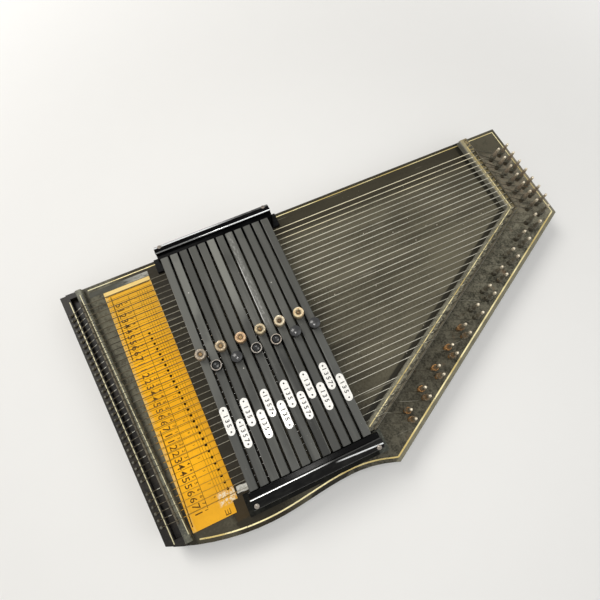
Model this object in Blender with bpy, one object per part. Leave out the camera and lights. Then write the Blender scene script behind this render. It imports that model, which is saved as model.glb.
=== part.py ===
# Chord zither with twelve chord bars and thirty-seven strings.
# Metres, +Z up. The origin is under the middle of the body, on the surface that the feet stand on.
# +X runs along the strings from the tail to the tuning pins, +Y points to the long bass side.

import math

import bmesh
import bpy
from mathutils import Vector

# Body
BODY_LENGTH = 0.545
BODY_WIDTH = 0.292
BODY_DEPTH = 0.032
BACK_THICKNESS = 0.003
TOP_THICKNESS = 0.0032
RIM_THICKNESS = 0.006
TOP_EDGE_ROUND = 0.001
TAIL_SLANT = math.radians(5.47)
SHORT_END_SLANT = math.radians(2.15)
SHORT_END_DROP = 0.128
LONG_END_ANGLE = math.radians(29.3)
GAP = 0.0003

# Treble side curve, measured from the treble corner and up from its height
TAIL_CORNER_RISE = 0.0237
BULGE_BACK = 0.131
BULGE_RISE = 0.0031
WAIST_BACK = 0.0469
WAIST_RISE = 0.0094
CURVE_STEPS = 7

# Feet
FOOT_HEIGHT = 0.004
FOOT_RADIUS = 0.0075
FOOT_TAPER = 0.001
FOOT_INSET = 0.018
FOOT_SIDES = 16
LONG_END_FOOT_FROM_CORNER = 0.2336

# Tail block with its hitch ledge and its recess, measured in from the tail edge
TAIL_BLOCK_WIDTH = 0.036
LEDGE_WIDTH = 0.0067
LEDGE_DEPTH = 0.002
RIDGE_WIDTH = 0.003
RECESS_WIDTH = 0.0092
RECESS_DEPTH = 0.007
RECESS_END_WALL = 0.006

# Raised rails and the steel rods that the strings bear on
RAIL_HEIGHT = 0.0077
RAIL_CHAMFER = 0.001
TAIL_RAIL_WIDTH = 0.0067
PIN_RAIL_WIDTH = 0.0105
RAIL_EDGE_MARGIN = 0.003
ROD_RADIUS = 0.001
ROD_SETBACK = 0.0018
ROD_SIDES = 8

# Pin blocks along the two outer edges
SHORT_BLOCK_WIDTH = 0.056
LONG_BLOCK_WIDTH = 0.052
BLOCK_JOINT_INSET = 0.0338
BLOCK_END_BACK = 0.025
SHORT_RAIL_INSET = 0.0428
LONG_RAIL_ANGLE = math.radians(29.83)
LONG_RAIL_RISE = 0.0449

# Strings and tuning pins
STRING_COUNT = 37
STRING_PITCH = 0.00632
BASS_STRING_RADIUS = 0.00055
TREBLE_STRING_RADIUS = 0.00035
STRING_SIDES = 4
STRING_SINK = 0.0002
FIRST_STRING_FROM_EDGE = 0.0243
# This string has snapped between the hitch pin and its saddle
BROKEN_STRING = 30
HITCH_FROM_EDGE = 0.0036
HITCH_RADIUS = 0.0008
HITCH_HEIGHT = 0.003
HITCH_SIDES = 5
PIN_RADIUS = 0.0024
PIN_TIP_RADIUS = 0.0020
PIN_ABOVE = 0.022
PIN_BELOW = 0.020
PIN_SIDES = 8
PIN_HOLE_CLEARANCE = 0.0003
COIL_RADIUS = 0.0033
COIL_BOTTOM = 0.0042
COIL_TOP = 0.0100
STRING_ONTO_COIL = 0.0015
SHORT_PIN_COUNT = 15
SHORT_PIN_PITCH = 0.0123
SHORT_OUTER_INSET = 0.0157
SHORT_INNER_INSET = 0.0285
LAST_SHORT_PIN_SHIFT = 0.0055
FIRST_PIN_FROM_EDGE = 0.0367
INNER_ROW_SHIFT = 0.0014
LONG_OUTER_INSET = 0.0133
LONG_INNER_INSET = 0.0212
FIRST_PAIR_FROM_CORNER = 0.0402

# Sound hole and braces
SOUND_HOLE_RADIUS = 0.025
SOUND_HOLE_Y = 0.010
SOUND_HOLE_SIDES = 32
BRACE_WIDTH = 0.010
BRACE_HEIGHT = 0.012
FIRST_BRACE_FROM_TAIL = 0.1005
SECOND_BRACE_FROM_TAIL = 0.3175

# Tuning chart, a card on the soundboard beside the tail rail
CHART_THICKNESS = 0.0004
CHART_FROM_TAIL = 0.0427
CHART_TOP_WIDTH = 0.0503
CHART_LENGTH = 0.2537
CHART_FROM_EDGE = 0.0145
CHART_LEFT_LEAN = math.radians(1.86)
CHART_RIGHT_LEAN = math.radians(1.25)
CHART_NOTCH_WIDTH = 0.0053
CHART_NOTCH_LENGTH = 0.0106

# Chord bars, felts and buttons
BAR_COUNT = 12
BAR_PITCH = 0.0100
BAR_WIDTH = 0.00775
BAR_HEIGHT = 0.0105
BAR_EDGE_ROUND = 0.0006
BAR_TRAVEL = 0.0033
FIRST_BAR_FROM_TAIL = 0.1194
BAR_BASS_END_FROM_EDGE = 0.0173
BAR_LENGTH = 0.2385
TONGUE_WIDTH = 0.0055
TONGUE_HEIGHT = 0.0062
TONGUE_LENGTH = 0.0115
FELT_WIDTH = 0.0064
FELT_HEIGHT = 0.0054
FELT_BACKING = 0.0019
FELT_NOTCH = 0.0044
FELT_END_MARGIN = 0.0008
BUTTON_RADIUS = 0.0054
BUTTON_HEIGHT = 0.0088
BUTTON_FOOT_RADIUS = 0.00464
BUTTON_FOOT_HEIGHT = 0.0012
BUTTON_SHOULDER_DROP = 0.0023
BUTTON_RIM_RADIUS = 0.00443
BUTTON_RECESS_RADIUS = 0.0030
BUTTON_RECESS_FLOOR_RADIUS = 0.0024
BUTTON_RECESS_DEPTH = 0.0022
BUTTON_SIDES = 14
PALE_BUTTON_Y = 0.0184
DARK_BUTTON_Y = 0.0029

# Bar holders: a slotted comb on a base plate, under a cover
SHOULDER_CLEARANCE = 0.0006
SLOT_CLEARANCE = 0.00035
BASE_HEIGHT = 0.004
BASE_OVERHANG = 0.0078
TREBLE_BASE_OUTREACH = 0.0056
COMB_FLOOR = 0.006
COMB_END_WALL = 0.0014
COMB_PIN_END_WALL = 0.0051
COVER_WALL = 0.0016
SHELF_WIDTH = 0.0053
COVER_RIDGE_WIDTH = 0.0101
COVER_RIDGE_RISE = 0.0053
COVER_SLOPE_DROP = 0.003
COVER_ROUND = 0.0013
COVER_DRAFT = 0.0004

# String notes in semitones: five low steps, then every semitone
LOW_NOTES = (41, 43, 48, 50, 52)
FIRST_CHROMATIC_NOTE = 53
MAJOR = (0, 4, 7)
MINOR = (0, 3, 7)
SEVENTH = (0, 4, 7, 10)
# Root of each chord above C, and its intervals, one for each bar
CHORDS = (
    (7, MINOR), (10, MAJOR), (9, SEVENTH), (0, SEVENTH), (2, MINOR), (5, MAJOR),
    (4, SEVENTH), (9, MINOR), (7, SEVENTH), (0, MAJOR), (2, SEVENTH), (7, MAJOR),
)

# Places that follow from the sizes above
BASS_Y = BODY_WIDTH / 2
TREBLE_Y = -BODY_WIDTH / 2
TAIL_X = -BODY_LENGTH / 2
PIN_END_X = BODY_LENGTH / 2
CORNER_Y = BASS_Y - SHORT_END_DROP
TREBLE_CORNER_X = PIN_END_X - (CORNER_Y - TREBLE_Y) / math.tan(LONG_END_ANGLE)
FRAME_BOTTOM = FOOT_HEIGHT + BACK_THICKNESS + GAP
TOP_Z = FOOT_HEIGHT + BODY_DEPTH
FRAME_TOP = TOP_Z - TOP_THICKNESS - GAP
RECESS_START = LEDGE_WIDTH + RIDGE_WIDTH
RAIL_START = RECESS_START + RECESS_WIDTH
RAIL_TOP = TOP_Z + RAIL_HEIGHT
ROD_Z = RAIL_TOP + GAP + ROD_RADIUS
ROD_TOP = ROD_Z + ROD_RADIUS
FIRST_STRING_Y = BASS_Y - FIRST_STRING_FROM_EDGE
FELT_BOTTOM = ROD_TOP + GAP + 2 * BASS_STRING_RADIUS + GAP + BAR_TRAVEL
BAR_BOTTOM = FELT_BOTTOM + FELT_HEIGHT + GAP
BAR_TOP = BAR_BOTTOM + BAR_HEIGHT
TONGUE_TOP = BAR_BOTTOM + TONGUE_HEIGHT
FIRST_BAR_X = TAIL_X + FIRST_BAR_FROM_TAIL
LAST_BAR_X = FIRST_BAR_X + BAR_PITCH * (BAR_COUNT - 1)
BAR_BASS_Y = BASS_Y - BAR_BASS_END_FROM_EDGE
BAR_TREBLE_Y = BAR_BASS_Y - BAR_LENGTH
SLOT_WIDTH = TONGUE_WIDTH + 2 * SLOT_CLEARANCE
SHELF_TOP = TONGUE_TOP + GAP + COVER_WALL
COVER_DEPTH = SHELF_WIDTH + COVER_RIDGE_WIDTH
BLOCK_END_X = TREBLE_CORNER_X - BLOCK_END_BACK


def tail_x(y, inset=0.0):
    """x of the tail edge at y, moved in towards the strings by the inset."""
    return TAIL_X + (BASS_Y - y) * math.tan(TAIL_SLANT) + inset / math.cos(TAIL_SLANT)


def short_x(y, inset=0.0):
    """x of the short pin end at y, moved in by the inset."""
    return PIN_END_X - (y - CORNER_Y) * math.tan(SHORT_END_SLANT) - inset / math.cos(SHORT_END_SLANT)


def long_y(x, inset=0.0):
    """y of the long slanted end at x, moved in by the inset."""
    return CORNER_Y + (x - PIN_END_X) * math.tan(LONG_END_ANGLE) + inset / math.cos(LONG_END_ANGLE)


def tail_corner():
    """The corner between the tail and the treble curve."""
    y = TREBLE_Y + TAIL_CORNER_RISE
    return tail_x(y), y


def curve_y(x):
    """y of the treble curve: a parabola to the bulge, a half wave to the waist, a parabola to the corner."""
    start_x, start_y = tail_corner()
    bulge_x = TREBLE_CORNER_X - BULGE_BACK
    waist_x = TREBLE_CORNER_X - WAIST_BACK
    bulge_y = TREBLE_Y + BULGE_RISE
    waist_y = TREBLE_Y + WAIST_RISE
    if x < bulge_x:
        share = (bulge_x - x) / (bulge_x - start_x)
        return bulge_y + (start_y - bulge_y) * share ** 2
    if x < waist_x:
        share = (x - bulge_x) / (waist_x - bulge_x)
        return bulge_y + (waist_y - bulge_y) * (1 - math.cos(math.pi * share)) / 2
    share = (x - waist_x) / (TREBLE_CORNER_X - waist_x)
    return waist_y + (TREBLE_Y - waist_y) * share ** 2


def curve_points(x_from, x_to, inset=0.0):
    """Points of the treble curve between two places, both ends included."""
    knots = [tail_corner()[0], TREBLE_CORNER_X - BULGE_BACK, TREBLE_CORNER_X - WAIST_BACK, TREBLE_CORNER_X]
    inner = []
    for left, right in zip(knots, knots[1:]):
        inner += [left + (right - left) * step / CURVE_STEPS for step in range(CURVE_STEPS)]
    clear = (knots[-1] - knots[0]) / (4 * len(inner))
    places = [x_from] + [x for x in inner if x_from + clear < x < x_to - clear] + [x_to]
    return [(x, curve_y(x) + inset) for x in places]


def cross_curve(line_x, inset=0.0):
    """Where a line given as x at y meets the treble curve, found by halving."""
    low = TREBLE_Y - RIM_THICKNESS
    high = TREBLE_Y + 4 * TAIL_CORNER_RISE
    for _ in range(40):
        middle = (low + high) / 2
        if middle < curve_y(line_x(middle)) + inset:
            low = middle
        else:
            high = middle
    return line_x(high), high


def long_rail_y(x, inset=0.0):
    """y of the long pin rail's outer face at x, moved in by the inset."""
    rise = LONG_RAIL_RISE + inset / math.cos(LONG_RAIL_ANGLE)
    return CORNER_Y + rise - (PIN_END_X - x) * math.tan(LONG_RAIL_ANGLE)


def long_rail_x(y, inset=0.0):
    """x of the long pin rail's outer face at y, moved in by the inset."""
    rise = LONG_RAIL_RISE + inset / math.cos(LONG_RAIL_ANGLE)
    return PIN_END_X - (CORNER_Y + rise - y) / math.tan(LONG_RAIL_ANGLE)


def string_y(index):
    return FIRST_STRING_Y - STRING_PITCH * index


def string_radius(index):
    """The strings get thinner by even steps from the bass side to the treble side."""
    share = index / (STRING_COUNT - 1)
    return BASS_STRING_RADIUS + (TREBLE_STRING_RADIUS - BASS_STRING_RADIUS) * share


def bar_x(index):
    return FIRST_BAR_X + BAR_PITCH * index


def meeting(line_x, line_y):
    """Where a steep line given as x at y crosses a flat one given as y at x."""
    x = PIN_END_X
    for _ in range(20):
        x = line_x(line_y(x))
    return x, line_y(x)


def block_corner(short_inset, long_inset):
    """The crossing of two lines that run inside the short end and the long end."""
    return meeting(lambda y: short_x(y, short_inset), lambda x: long_y(x, long_inset))


def rail_corner(inset):
    """The bend of a line that runs inside the outer faces of both pin rails."""
    return meeting(lambda y: short_x(y, SHORT_RAIL_INSET + inset), lambda x: long_rail_y(x, inset))


def material(name, colour, roughness, metallic=0.0):
    made = bpy.data.materials.new(name)
    made.use_nodes = True
    shader = made.node_tree.nodes["Principled BSDF"]
    shader.inputs["Base Color"].default_value = (*colour, 1.0)
    shader.inputs["Roughness"].default_value = roughness
    shader.inputs["Metallic"].default_value = metallic
    return made


def add_object(name, mesh, finish=None):
    made = bpy.data.objects.new(name, mesh)
    bpy.context.scene.collection.objects.link(made)
    if finish is not None:
        mesh.materials.clear()
        mesh.materials.append(finish)
    return made


def shape_to_object(name, shape, finish=None):
    bmesh.ops.recalc_face_normals(shape, faces=shape.faces[:])
    mesh = bpy.data.meshes.new(name)
    shape.to_mesh(mesh)
    shape.free()
    return add_object(name, mesh, finish)


def extruded(outline, start, end, place):
    """A closed prism: the outline's points and a third coordinate go through place() to x, y and z."""
    shape = bmesh.new()
    bottom = [shape.verts.new(place(a, b, start)) for a, b in outline]
    top = [shape.verts.new(place(a, b, end)) for a, b in outline]
    shape.faces.new(bottom)
    shape.faces.new(top)
    count = len(outline)
    for i in range(count):
        j = (i + 1) % count
        shape.faces.new((bottom[i], bottom[j], top[j], top[i]))
    return shape


def upright(outline, bottom, top):
    return extruded(outline, bottom, top, lambda a, b, c: (a, b, c))


def along_x(outline, start, end):
    """The outline is in y and z, and runs along x."""
    return extruded(outline, start, end, lambda a, b, c: (c, a, b))


def box(x0, x1, y0, y1, z0, z1):
    return upright([(x0, y0), (x1, y0), (x1, y1), (x0, y1)], z0, z1)


def corner_radius(radius, sides):
    """Distance of the corners of a polygon whose flats touch a circle."""
    return radius / math.cos(math.pi / sides)


def ring(radius, sides, z, x=0.0, y=0.0):
    turn = math.pi / sides
    radius = corner_radius(radius, sides)
    angles = [2 * math.pi * k / sides + turn for k in range(sides)]
    return [Vector((x + radius * math.cos(a), y + radius * math.sin(a), z)) for a in angles]


def lofted(rings):
    """A closed solid through rings that have the same number of points."""
    shape = bmesh.new()
    loops = [[shape.verts.new(point) for point in points] for points in rings]
    for low, high in zip(loops, loops[1:]):
        count = len(low)
        for i in range(count):
            j = (i + 1) % count
            shape.faces.new((low[i], low[j], high[j], high[i]))
    shape.faces.new(loops[0])
    shape.faces.new(loops[-1])
    return shape


def turned(profile, sides, x=0.0, y=0.0):
    """A round solid from (radius, height) pairs, bottom first."""
    return lofted([ring(radius, sides, height, x, y) for radius, height in profile])


def tube(points, radius, sides):
    """A straight-sided tube through points, with mitred bends and flat ends."""
    points = [Vector(point) for point in points]
    radius = corner_radius(radius, sides)
    rings = []
    for i, point in enumerate(points):
        before = (point - points[i - 1]).normalized() if i > 0 else None
        after = (points[i + 1] - point).normalized() if i + 1 < len(points) else None
        heading = ((before or after) + (after or before)).normalized()
        side = heading.cross(Vector((0, 0, 1))).normalized()
        rise = side.cross(heading).normalized()
        stretch = 1.0 / max(heading.dot(after or before), 0.5)
        angles = [2 * math.pi * (k + 0.5) / sides for k in range(sides)]
        rings.append([point + side * radius * math.cos(a) + rise * radius * stretch * math.sin(a) for a in angles])
    return lofted(rings)


def combine(target, tools, operation):
    """Cut the target with the tool shapes, or join them to it, and keep the result as a plain mesh."""
    group = bpy.data.collections.new("tools")
    bpy.context.scene.collection.children.link(group)
    for number, shape in enumerate(tools):
        tool = shape_to_object("tool_%02d" % number, shape)
        bpy.context.scene.collection.objects.unlink(tool)
        group.objects.link(tool)
        tool.hide_render = True
        tool.display_type = "WIRE"
    step = target.modifiers.new("shape", "BOOLEAN")
    step.solver = "EXACT"
    step.operation = operation
    step.operand_type = "COLLECTION"
    step.collection = group
    bpy.context.view_layer.update()
    graph = bpy.context.evaluated_depsgraph_get()
    result = bpy.data.meshes.new_from_object(target.evaluated_get(graph))
    old = target.data
    target.modifiers.remove(step)
    finishes = list(old.materials)
    target.data = result
    result.materials.clear()
    for finish in finishes:
        result.materials.append(finish)
    result.name = target.name
    bpy.data.meshes.remove(old)
    for tool in list(group.objects):
        mesh = tool.data
        bpy.data.objects.remove(tool)
        bpy.data.meshes.remove(mesh)
    bpy.data.collections.remove(group)


def smooth_round(made, degrees=35):
    made.data.shade_smooth()
    made.data.set_sharp_from_angle(angle=math.radians(degrees))


def round_top_edges(shape, top, width):
    edges = [e for e in shape.edges if all(abs(v.co.z - top) < 1e-7 for v in e.verts)]
    bmesh.ops.bevel(shape, geom=edges, offset=width, segments=1, affect="EDGES", clamp_overlap=True)


def body_outline(tail_inset=0.0):
    """The whole plan, with the tail edge moved in for the soundboard."""
    tail_foot = cross_curve(lambda y: tail_x(y, tail_inset))
    points = [(tail_x(BASS_Y, tail_inset), BASS_Y), tail_foot]
    points += curve_points(tail_foot[0], TREBLE_CORNER_X)[1:]
    points += [(PIN_END_X, CORNER_Y), (short_x(BASS_Y), BASS_Y)]
    return points


def pin_places():
    """Centres of the tuning pins in string order: outer and inner rows by turns."""
    places = []
    for index in range(SHORT_PIN_COUNT):
        step, inner = divmod(index, 2)
        y = BASS_Y - FIRST_PIN_FROM_EDGE - SHORT_PIN_PITCH * step - INNER_ROW_SHIFT * inner
        inset = SHORT_INNER_INSET if inner else SHORT_OUTER_INSET
        if index == SHORT_PIN_COUNT - 1:
            inset += LAST_SHORT_PIN_SHIFT
        places.append((short_x(y, inset), y))
    pair_step = 2 * STRING_PITCH / math.tan(LONG_END_ANGLE)
    for index in range(STRING_COUNT - SHORT_PIN_COUNT):
        step, outer = divmod(index, 2)
        x = PIN_END_X - FIRST_PAIR_FROM_CORNER - pair_step * step
        inset = LONG_OUTER_INSET if outer else LONG_INNER_INSET
        places.append((x, long_y(x, inset)))
    return places


def pin_hole_tools(bottom, top):
    radius = PIN_RADIUS + PIN_HOLE_CLEARANCE
    return [turned([(radius, bottom), (radius, top)], PIN_SIDES, x, y) for x, y in pin_places()]


def make_boards(lacquer):
    shape_to_object("back_board", upright(body_outline(), FOOT_HEIGHT, FOOT_HEIGHT + BACK_THICKNESS), lacquer)
    shape = upright(body_outline(RAIL_START), TOP_Z - TOP_THICKNESS, TOP_Z)
    round_top_edges(shape, TOP_Z, TOP_EDGE_ROUND)
    top = shape_to_object("soundboard", shape, lacquer)
    below = TOP_Z - 2 * TOP_THICKNESS
    above = TOP_Z + TOP_THICKNESS
    hole_x = (FIRST_BAR_X + LAST_BAR_X) / 2
    hole = turned([(SOUND_HOLE_RADIUS, below), (SOUND_HOLE_RADIUS, above)], SOUND_HOLE_SIDES, hole_x, SOUND_HOLE_Y)
    combine(top, [hole] + pin_hole_tools(below, above), "DIFFERENCE")


def make_rims(lacquer):
    inner = BASS_Y - RIM_THICKNESS
    bass = [
        (tail_x(BASS_Y, TAIL_BLOCK_WIDTH + GAP), BASS_Y),
        (tail_x(inner, TAIL_BLOCK_WIDTH + GAP), inner),
        (short_x(inner, SHORT_BLOCK_WIDTH + GAP), inner),
        (short_x(BASS_Y, SHORT_BLOCK_WIDTH + GAP), BASS_Y),
    ]
    shape_to_object("bass_rim", upright(bass, FRAME_BOTTOM, FRAME_TOP), lacquer)
    start = cross_curve(lambda y: tail_x(y, TAIL_BLOCK_WIDTH + GAP))
    inner_start = cross_curve(lambda y: tail_x(y, TAIL_BLOCK_WIDTH + GAP), RIM_THICKNESS)
    end_x = BLOCK_END_X - GAP
    outer_wall = curve_points(start[0], end_x)
    inner_wall = curve_points(inner_start[0], end_x, RIM_THICKNESS)
    treble = outer_wall + inner_wall[::-1]
    shape_to_object("treble_rim", upright(treble, FRAME_BOTTOM, FRAME_TOP), lacquer)


def make_tail_block(lacquer):
    foot = cross_curve(lambda y: tail_x(y, TAIL_BLOCK_WIDTH))
    start = tail_corner()
    outline = [(tail_x(BASS_Y), BASS_Y), start] + curve_points(start[0], foot[0])[1:]
    outline.append((tail_x(BASS_Y, TAIL_BLOCK_WIDTH), BASS_Y))
    block = shape_to_object("tail_block", upright(outline, FRAME_BOTTOM, TOP_Z), lacquer)
    over = BODY_WIDTH / 10
    high = BASS_Y + over
    low = TREBLE_Y - over
    above = TOP_Z + RAIL_HEIGHT

    def strip(inset_from, inset_to, y_from, y_to, bottom):
        return upright([
            (tail_x(y_from, inset_from), y_from), (tail_x(y_to, inset_from), y_to),
            (tail_x(y_to, inset_to), y_to), (tail_x(y_from, inset_to), y_from)], bottom, above)

    ledge = strip(-over, LEDGE_WIDTH, high, low, TOP_Z - LEDGE_DEPTH)
    seat = strip(RAIL_START - GAP, TAIL_BLOCK_WIDTH + over, high, low, FRAME_TOP)
    recess_foot = cross_curve(lambda y: tail_x(y, RECESS_START))[1] + RECESS_END_WALL
    recess = strip(
        RECESS_START, RAIL_START - GAP, BASS_Y - RECESS_END_WALL, recess_foot, TOP_Z - RECESS_DEPTH)
    combine(block, [ledge], "DIFFERENCE")
    combine(block, [seat], "DIFFERENCE")
    combine(block, [recess], "DIFFERENCE")


def make_pin_blocks(plank):
    """The long block's end sits in a notch of the short block."""
    inner = LONG_BLOCK_WIDTH + GAP
    joint = BLOCK_JOINT_INSET - GAP
    short = [
        (PIN_END_X, CORNER_Y), (short_x(BASS_Y), BASS_Y), (short_x(BASS_Y, SHORT_BLOCK_WIDTH), BASS_Y),
        block_corner(SHORT_BLOCK_WIDTH, inner), block_corner(joint, inner), block_corner(joint, 0)]
    long_part = [
        block_corner(BLOCK_JOINT_INSET, 0), block_corner(BLOCK_JOINT_INSET, LONG_BLOCK_WIDTH),
        (BLOCK_END_X, long_y(BLOCK_END_X, LONG_BLOCK_WIDTH))]
    long_part += curve_points(BLOCK_END_X, TREBLE_CORNER_X)
    floor = TOP_Z - PIN_BELOW - PIN_HOLE_CLEARANCE
    holes = pin_hole_tools(floor, TOP_Z)
    parts = (
        ("pin_block_short", short, holes[:SHORT_PIN_COUNT]),
        ("pin_block_long", long_part, holes[SHORT_PIN_COUNT:]),
    )
    for name, outline, tools in parts:
        block = shape_to_object(name, upright(outline, FRAME_BOTTOM, FRAME_TOP), plank)
        combine(block, tools, "DIFFERENCE")


def make_braces(wood):
    top = FRAME_TOP
    for number, from_tail in enumerate((FIRST_BRACE_FROM_TAIL, SECOND_BRACE_FROM_TAIL), start=1):
        left = TAIL_X + from_tail - BRACE_WIDTH / 2
        right = left + BRACE_WIDTH
        outline = [(left, BASS_Y - RIM_THICKNESS - GAP)]
        for side in (left, right):
            foot = curve_y(side) + RIM_THICKNESS + GAP if side < BLOCK_END_X else -math.inf
            block = long_y(side, LONG_BLOCK_WIDTH + GAP)
            outline.append((side, max(foot, block)))
        outline.append((right, BASS_Y - RIM_THICKNESS - GAP))
        shape_to_object("brace_%d" % number, upright(outline, top - BRACE_HEIGHT, top), wood)


def make_feet(rubber):
    high = BASS_Y - FOOT_INSET
    low = tail_corner()[1] + FOOT_INSET
    slanted = PIN_END_X - LONG_END_FOOT_FROM_CORNER
    places = (
        (tail_x(high, FOOT_INSET), high),
        (short_x(high, FOOT_INSET), high),
        (tail_x(low, FOOT_INSET), low),
        (slanted, long_y(slanted, FOOT_INSET)),
    )
    top = FOOT_HEIGHT - GAP
    profile = [(FOOT_RADIUS - FOOT_TAPER, 0.0), (FOOT_RADIUS, top)]
    for number, (x, y) in enumerate(places, start=1):
        foot = shape_to_object("foot_%d" % number, turned(profile, FOOT_SIDES), rubber)
        foot.location = (x, y, 0)
        smooth_round(foot)


def rail_profile(width, height):
    """A rail's cross-section, chamfered along its two top edges."""
    return [
        (0, GAP), (width, GAP), (width, height - RAIL_CHAMFER), (width - RAIL_CHAMFER, height),
        (RAIL_CHAMFER, height), (0, height - RAIL_CHAMFER)]


def swept_rail(name, corners, profile, finish):
    """A rail between two end lines. Each corner pair gives the inner and outer plan point of one end."""
    rings = []
    width = max(a for a, _ in profile)
    for inner, outer in corners:
        inner = Vector(inner)
        outer = Vector(outer)
        rings.append([(*inner.lerp(outer, a / width), TOP_Z + b) for a, b in profile])
    return shape_to_object(name, lofted(rings), finish)


def make_rails(lacquer):
    y_high = BASS_Y - RAIL_EDGE_MARGIN
    tail_ends = []
    low = cross_curve(lambda y: tail_x(y, RAIL_START), RAIL_EDGE_MARGIN)[1]
    for y in (y_high, low):
        tail_ends.append(((tail_x(y, RAIL_START + TAIL_RAIL_WIDTH), y), (tail_x(y, RAIL_START), y)))
    swept_rail("tail_rail", tail_ends, rail_profile(TAIL_RAIL_WIDTH, RAIL_HEIGHT), lacquer)

    outer = rail_corner(0)
    inner = rail_corner(PIN_RAIL_WIDTH)
    along = Vector((outer[0] - inner[0], outer[1] - inner[1])).normalized()
    side = Vector((-along.y, along.x)) * GAP / 2
    profile = rail_profile(PIN_RAIL_WIDTH, RAIL_HEIGHT)
    inner_inset = SHORT_RAIL_INSET + PIN_RAIL_WIDTH
    short_ends = [
        ((short_x(y_high, inner_inset), y_high), (short_x(y_high, SHORT_RAIL_INSET), y_high)),
        ((inner[0] + side.x, inner[1] + side.y), (outer[0] + side.x, outer[1] + side.y)),
    ]
    swept_rail("pin_rail_short", short_ends, profile, lacquer)
    end_y = string_y(STRING_COUNT - 1) - RAIL_EDGE_MARGIN
    long_ends = [
        ((inner[0] - side.x, inner[1] - side.y), (outer[0] - side.x, outer[1] - side.y)),
        ((long_rail_x(end_y, PIN_RAIL_WIDTH), end_y), (long_rail_x(end_y), end_y)),
    ]
    swept_rail("pin_rail_long", long_ends, profile, lacquer)


def rod_between(start, end):
    return tube([(*start, ROD_Z), (*end, ROD_Z)], ROD_RADIUS, ROD_SIDES)


def make_tail_rod(steel):
    inset = RAIL_START + ROD_SETBACK
    high = string_y(0) + STRING_PITCH
    low = string_y(STRING_COUNT - 1) - STRING_PITCH / 2
    shape = rod_between((tail_x(high, inset), high), (tail_x(low, inset), low))
    smooth_round(shape_to_object("tail_rod", shape, steel))


def saddle_point(index):
    """Where a string bears on the rod of its pin rail, and whether that is the short one."""
    y = string_y(index)
    on_short = short_x(y, SHORT_RAIL_INSET + ROD_SETBACK)
    on_long = long_rail_x(y, ROD_SETBACK)
    return min(on_short, on_long), y, on_short < on_long


def string_shape(index, pin):
    """One string from its hitch pin over the tail rod and the saddle rod into its tuning pin's coil."""
    x, y, _ = saddle_point(index)
    radius = string_radius(index)
    path = [
        (tail_x(y, HITCH_FROM_EDGE), y, TOP_Z - LEDGE_DEPTH + HITCH_HEIGHT / 2),
        (tail_x(y, RAIL_START + ROD_SETBACK - ROD_RADIUS / 2), y, ROD_TOP + GAP + radius),
        (x, y, ROD_TOP + radius - STRING_SINK),
        (pin[0], pin[1], TOP_Z + COIL_BOTTOM + STRING_ONTO_COIL),
    ]
    if index == BROKEN_STRING:
        path = path[2:]
    return tube(path, radius, STRING_SIDES)


def hitch_shape(index):
    y = string_y(index)
    x = tail_x(y, HITCH_FROM_EDGE)
    base = TOP_Z - LEDGE_DEPTH + GAP
    return turned([(HITCH_RADIUS, base), (HITCH_RADIUS, base + HITCH_HEIGHT)], HITCH_SIDES, x, y)


def tuning_pin_shape(pin):
    """A tuning pin with the collar of wire wound on it."""
    profile = [
        (PIN_RADIUS, TOP_Z - PIN_BELOW), (PIN_RADIUS, TOP_Z + COIL_BOTTOM), (COIL_RADIUS, TOP_Z + COIL_BOTTOM),
        (COIL_RADIUS, TOP_Z + COIL_TOP), (PIN_RADIUS, TOP_Z + COIL_TOP), (PIN_TIP_RADIUS, TOP_Z + PIN_ABOVE)]
    return turned(profile, PIN_SIDES, *pin)


def make_strings(steel):
    """Strings, hitch pins and tuning pins, joined by the saddle rod that each group bears on."""
    corner_y = rail_corner(ROD_SETBACK)[1]
    high = string_y(0) + STRING_PITCH / 2
    low = string_y(STRING_COUNT - 1) - STRING_PITCH / 2
    inset = SHORT_RAIL_INSET + ROD_SETBACK
    rods = {
        "bass_strings": [(short_x(y, inset), y) for y in (high, corner_y - ROD_RADIUS)],
        "treble_strings": [(long_rail_x(y, ROD_SETBACK), y) for y in (corner_y - 2 * ROD_RADIUS, low)],
    }
    pins = pin_places()
    for name, (start, end) in rods.items():
        group = [i for i in range(STRING_COUNT) if saddle_point(i)[2] == (name == "bass_strings")]
        strings = shape_to_object(name, rod_between(start, end), steel)
        tools = []
        for index in group:
            tools += [string_shape(index, pins[index]), tuning_pin_shape(pins[index])]
            if index != BROKEN_STRING:
                tools.append(hitch_shape(index))
        combine(strings, tools, "UNION")


def make_chart(card):
    high = BASS_Y - CHART_FROM_EDGE
    low = high - CHART_LENGTH
    left = tail_x(high, CHART_FROM_TAIL)
    right = left + CHART_TOP_WIDTH
    notch_y = low + CHART_NOTCH_LENGTH

    def left_x(y):
        return left + (high - y) * math.tan(CHART_LEFT_LEAN)

    def right_x(y):
        return right + (high - y) * math.tan(CHART_RIGHT_LEAN)

    outline = [
        (left_x(high), high), (left_x(low), low), (right_x(low) - CHART_NOTCH_WIDTH, low),
        (right_x(low) - CHART_NOTCH_WIDTH, notch_y), (right_x(notch_y), notch_y), (right_x(high), high)]
    bottom = TOP_Z + GAP
    shape_to_object("tuning_chart", upright(outline, bottom, bottom + CHART_THICKNESS), card)


def string_notes():
    chromatic = [FIRST_CHROMATIC_NOTE + step for step in range(STRING_COUNT - len(LOW_NOTES))]
    return list(LOW_NOTES) + chromatic


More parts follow.
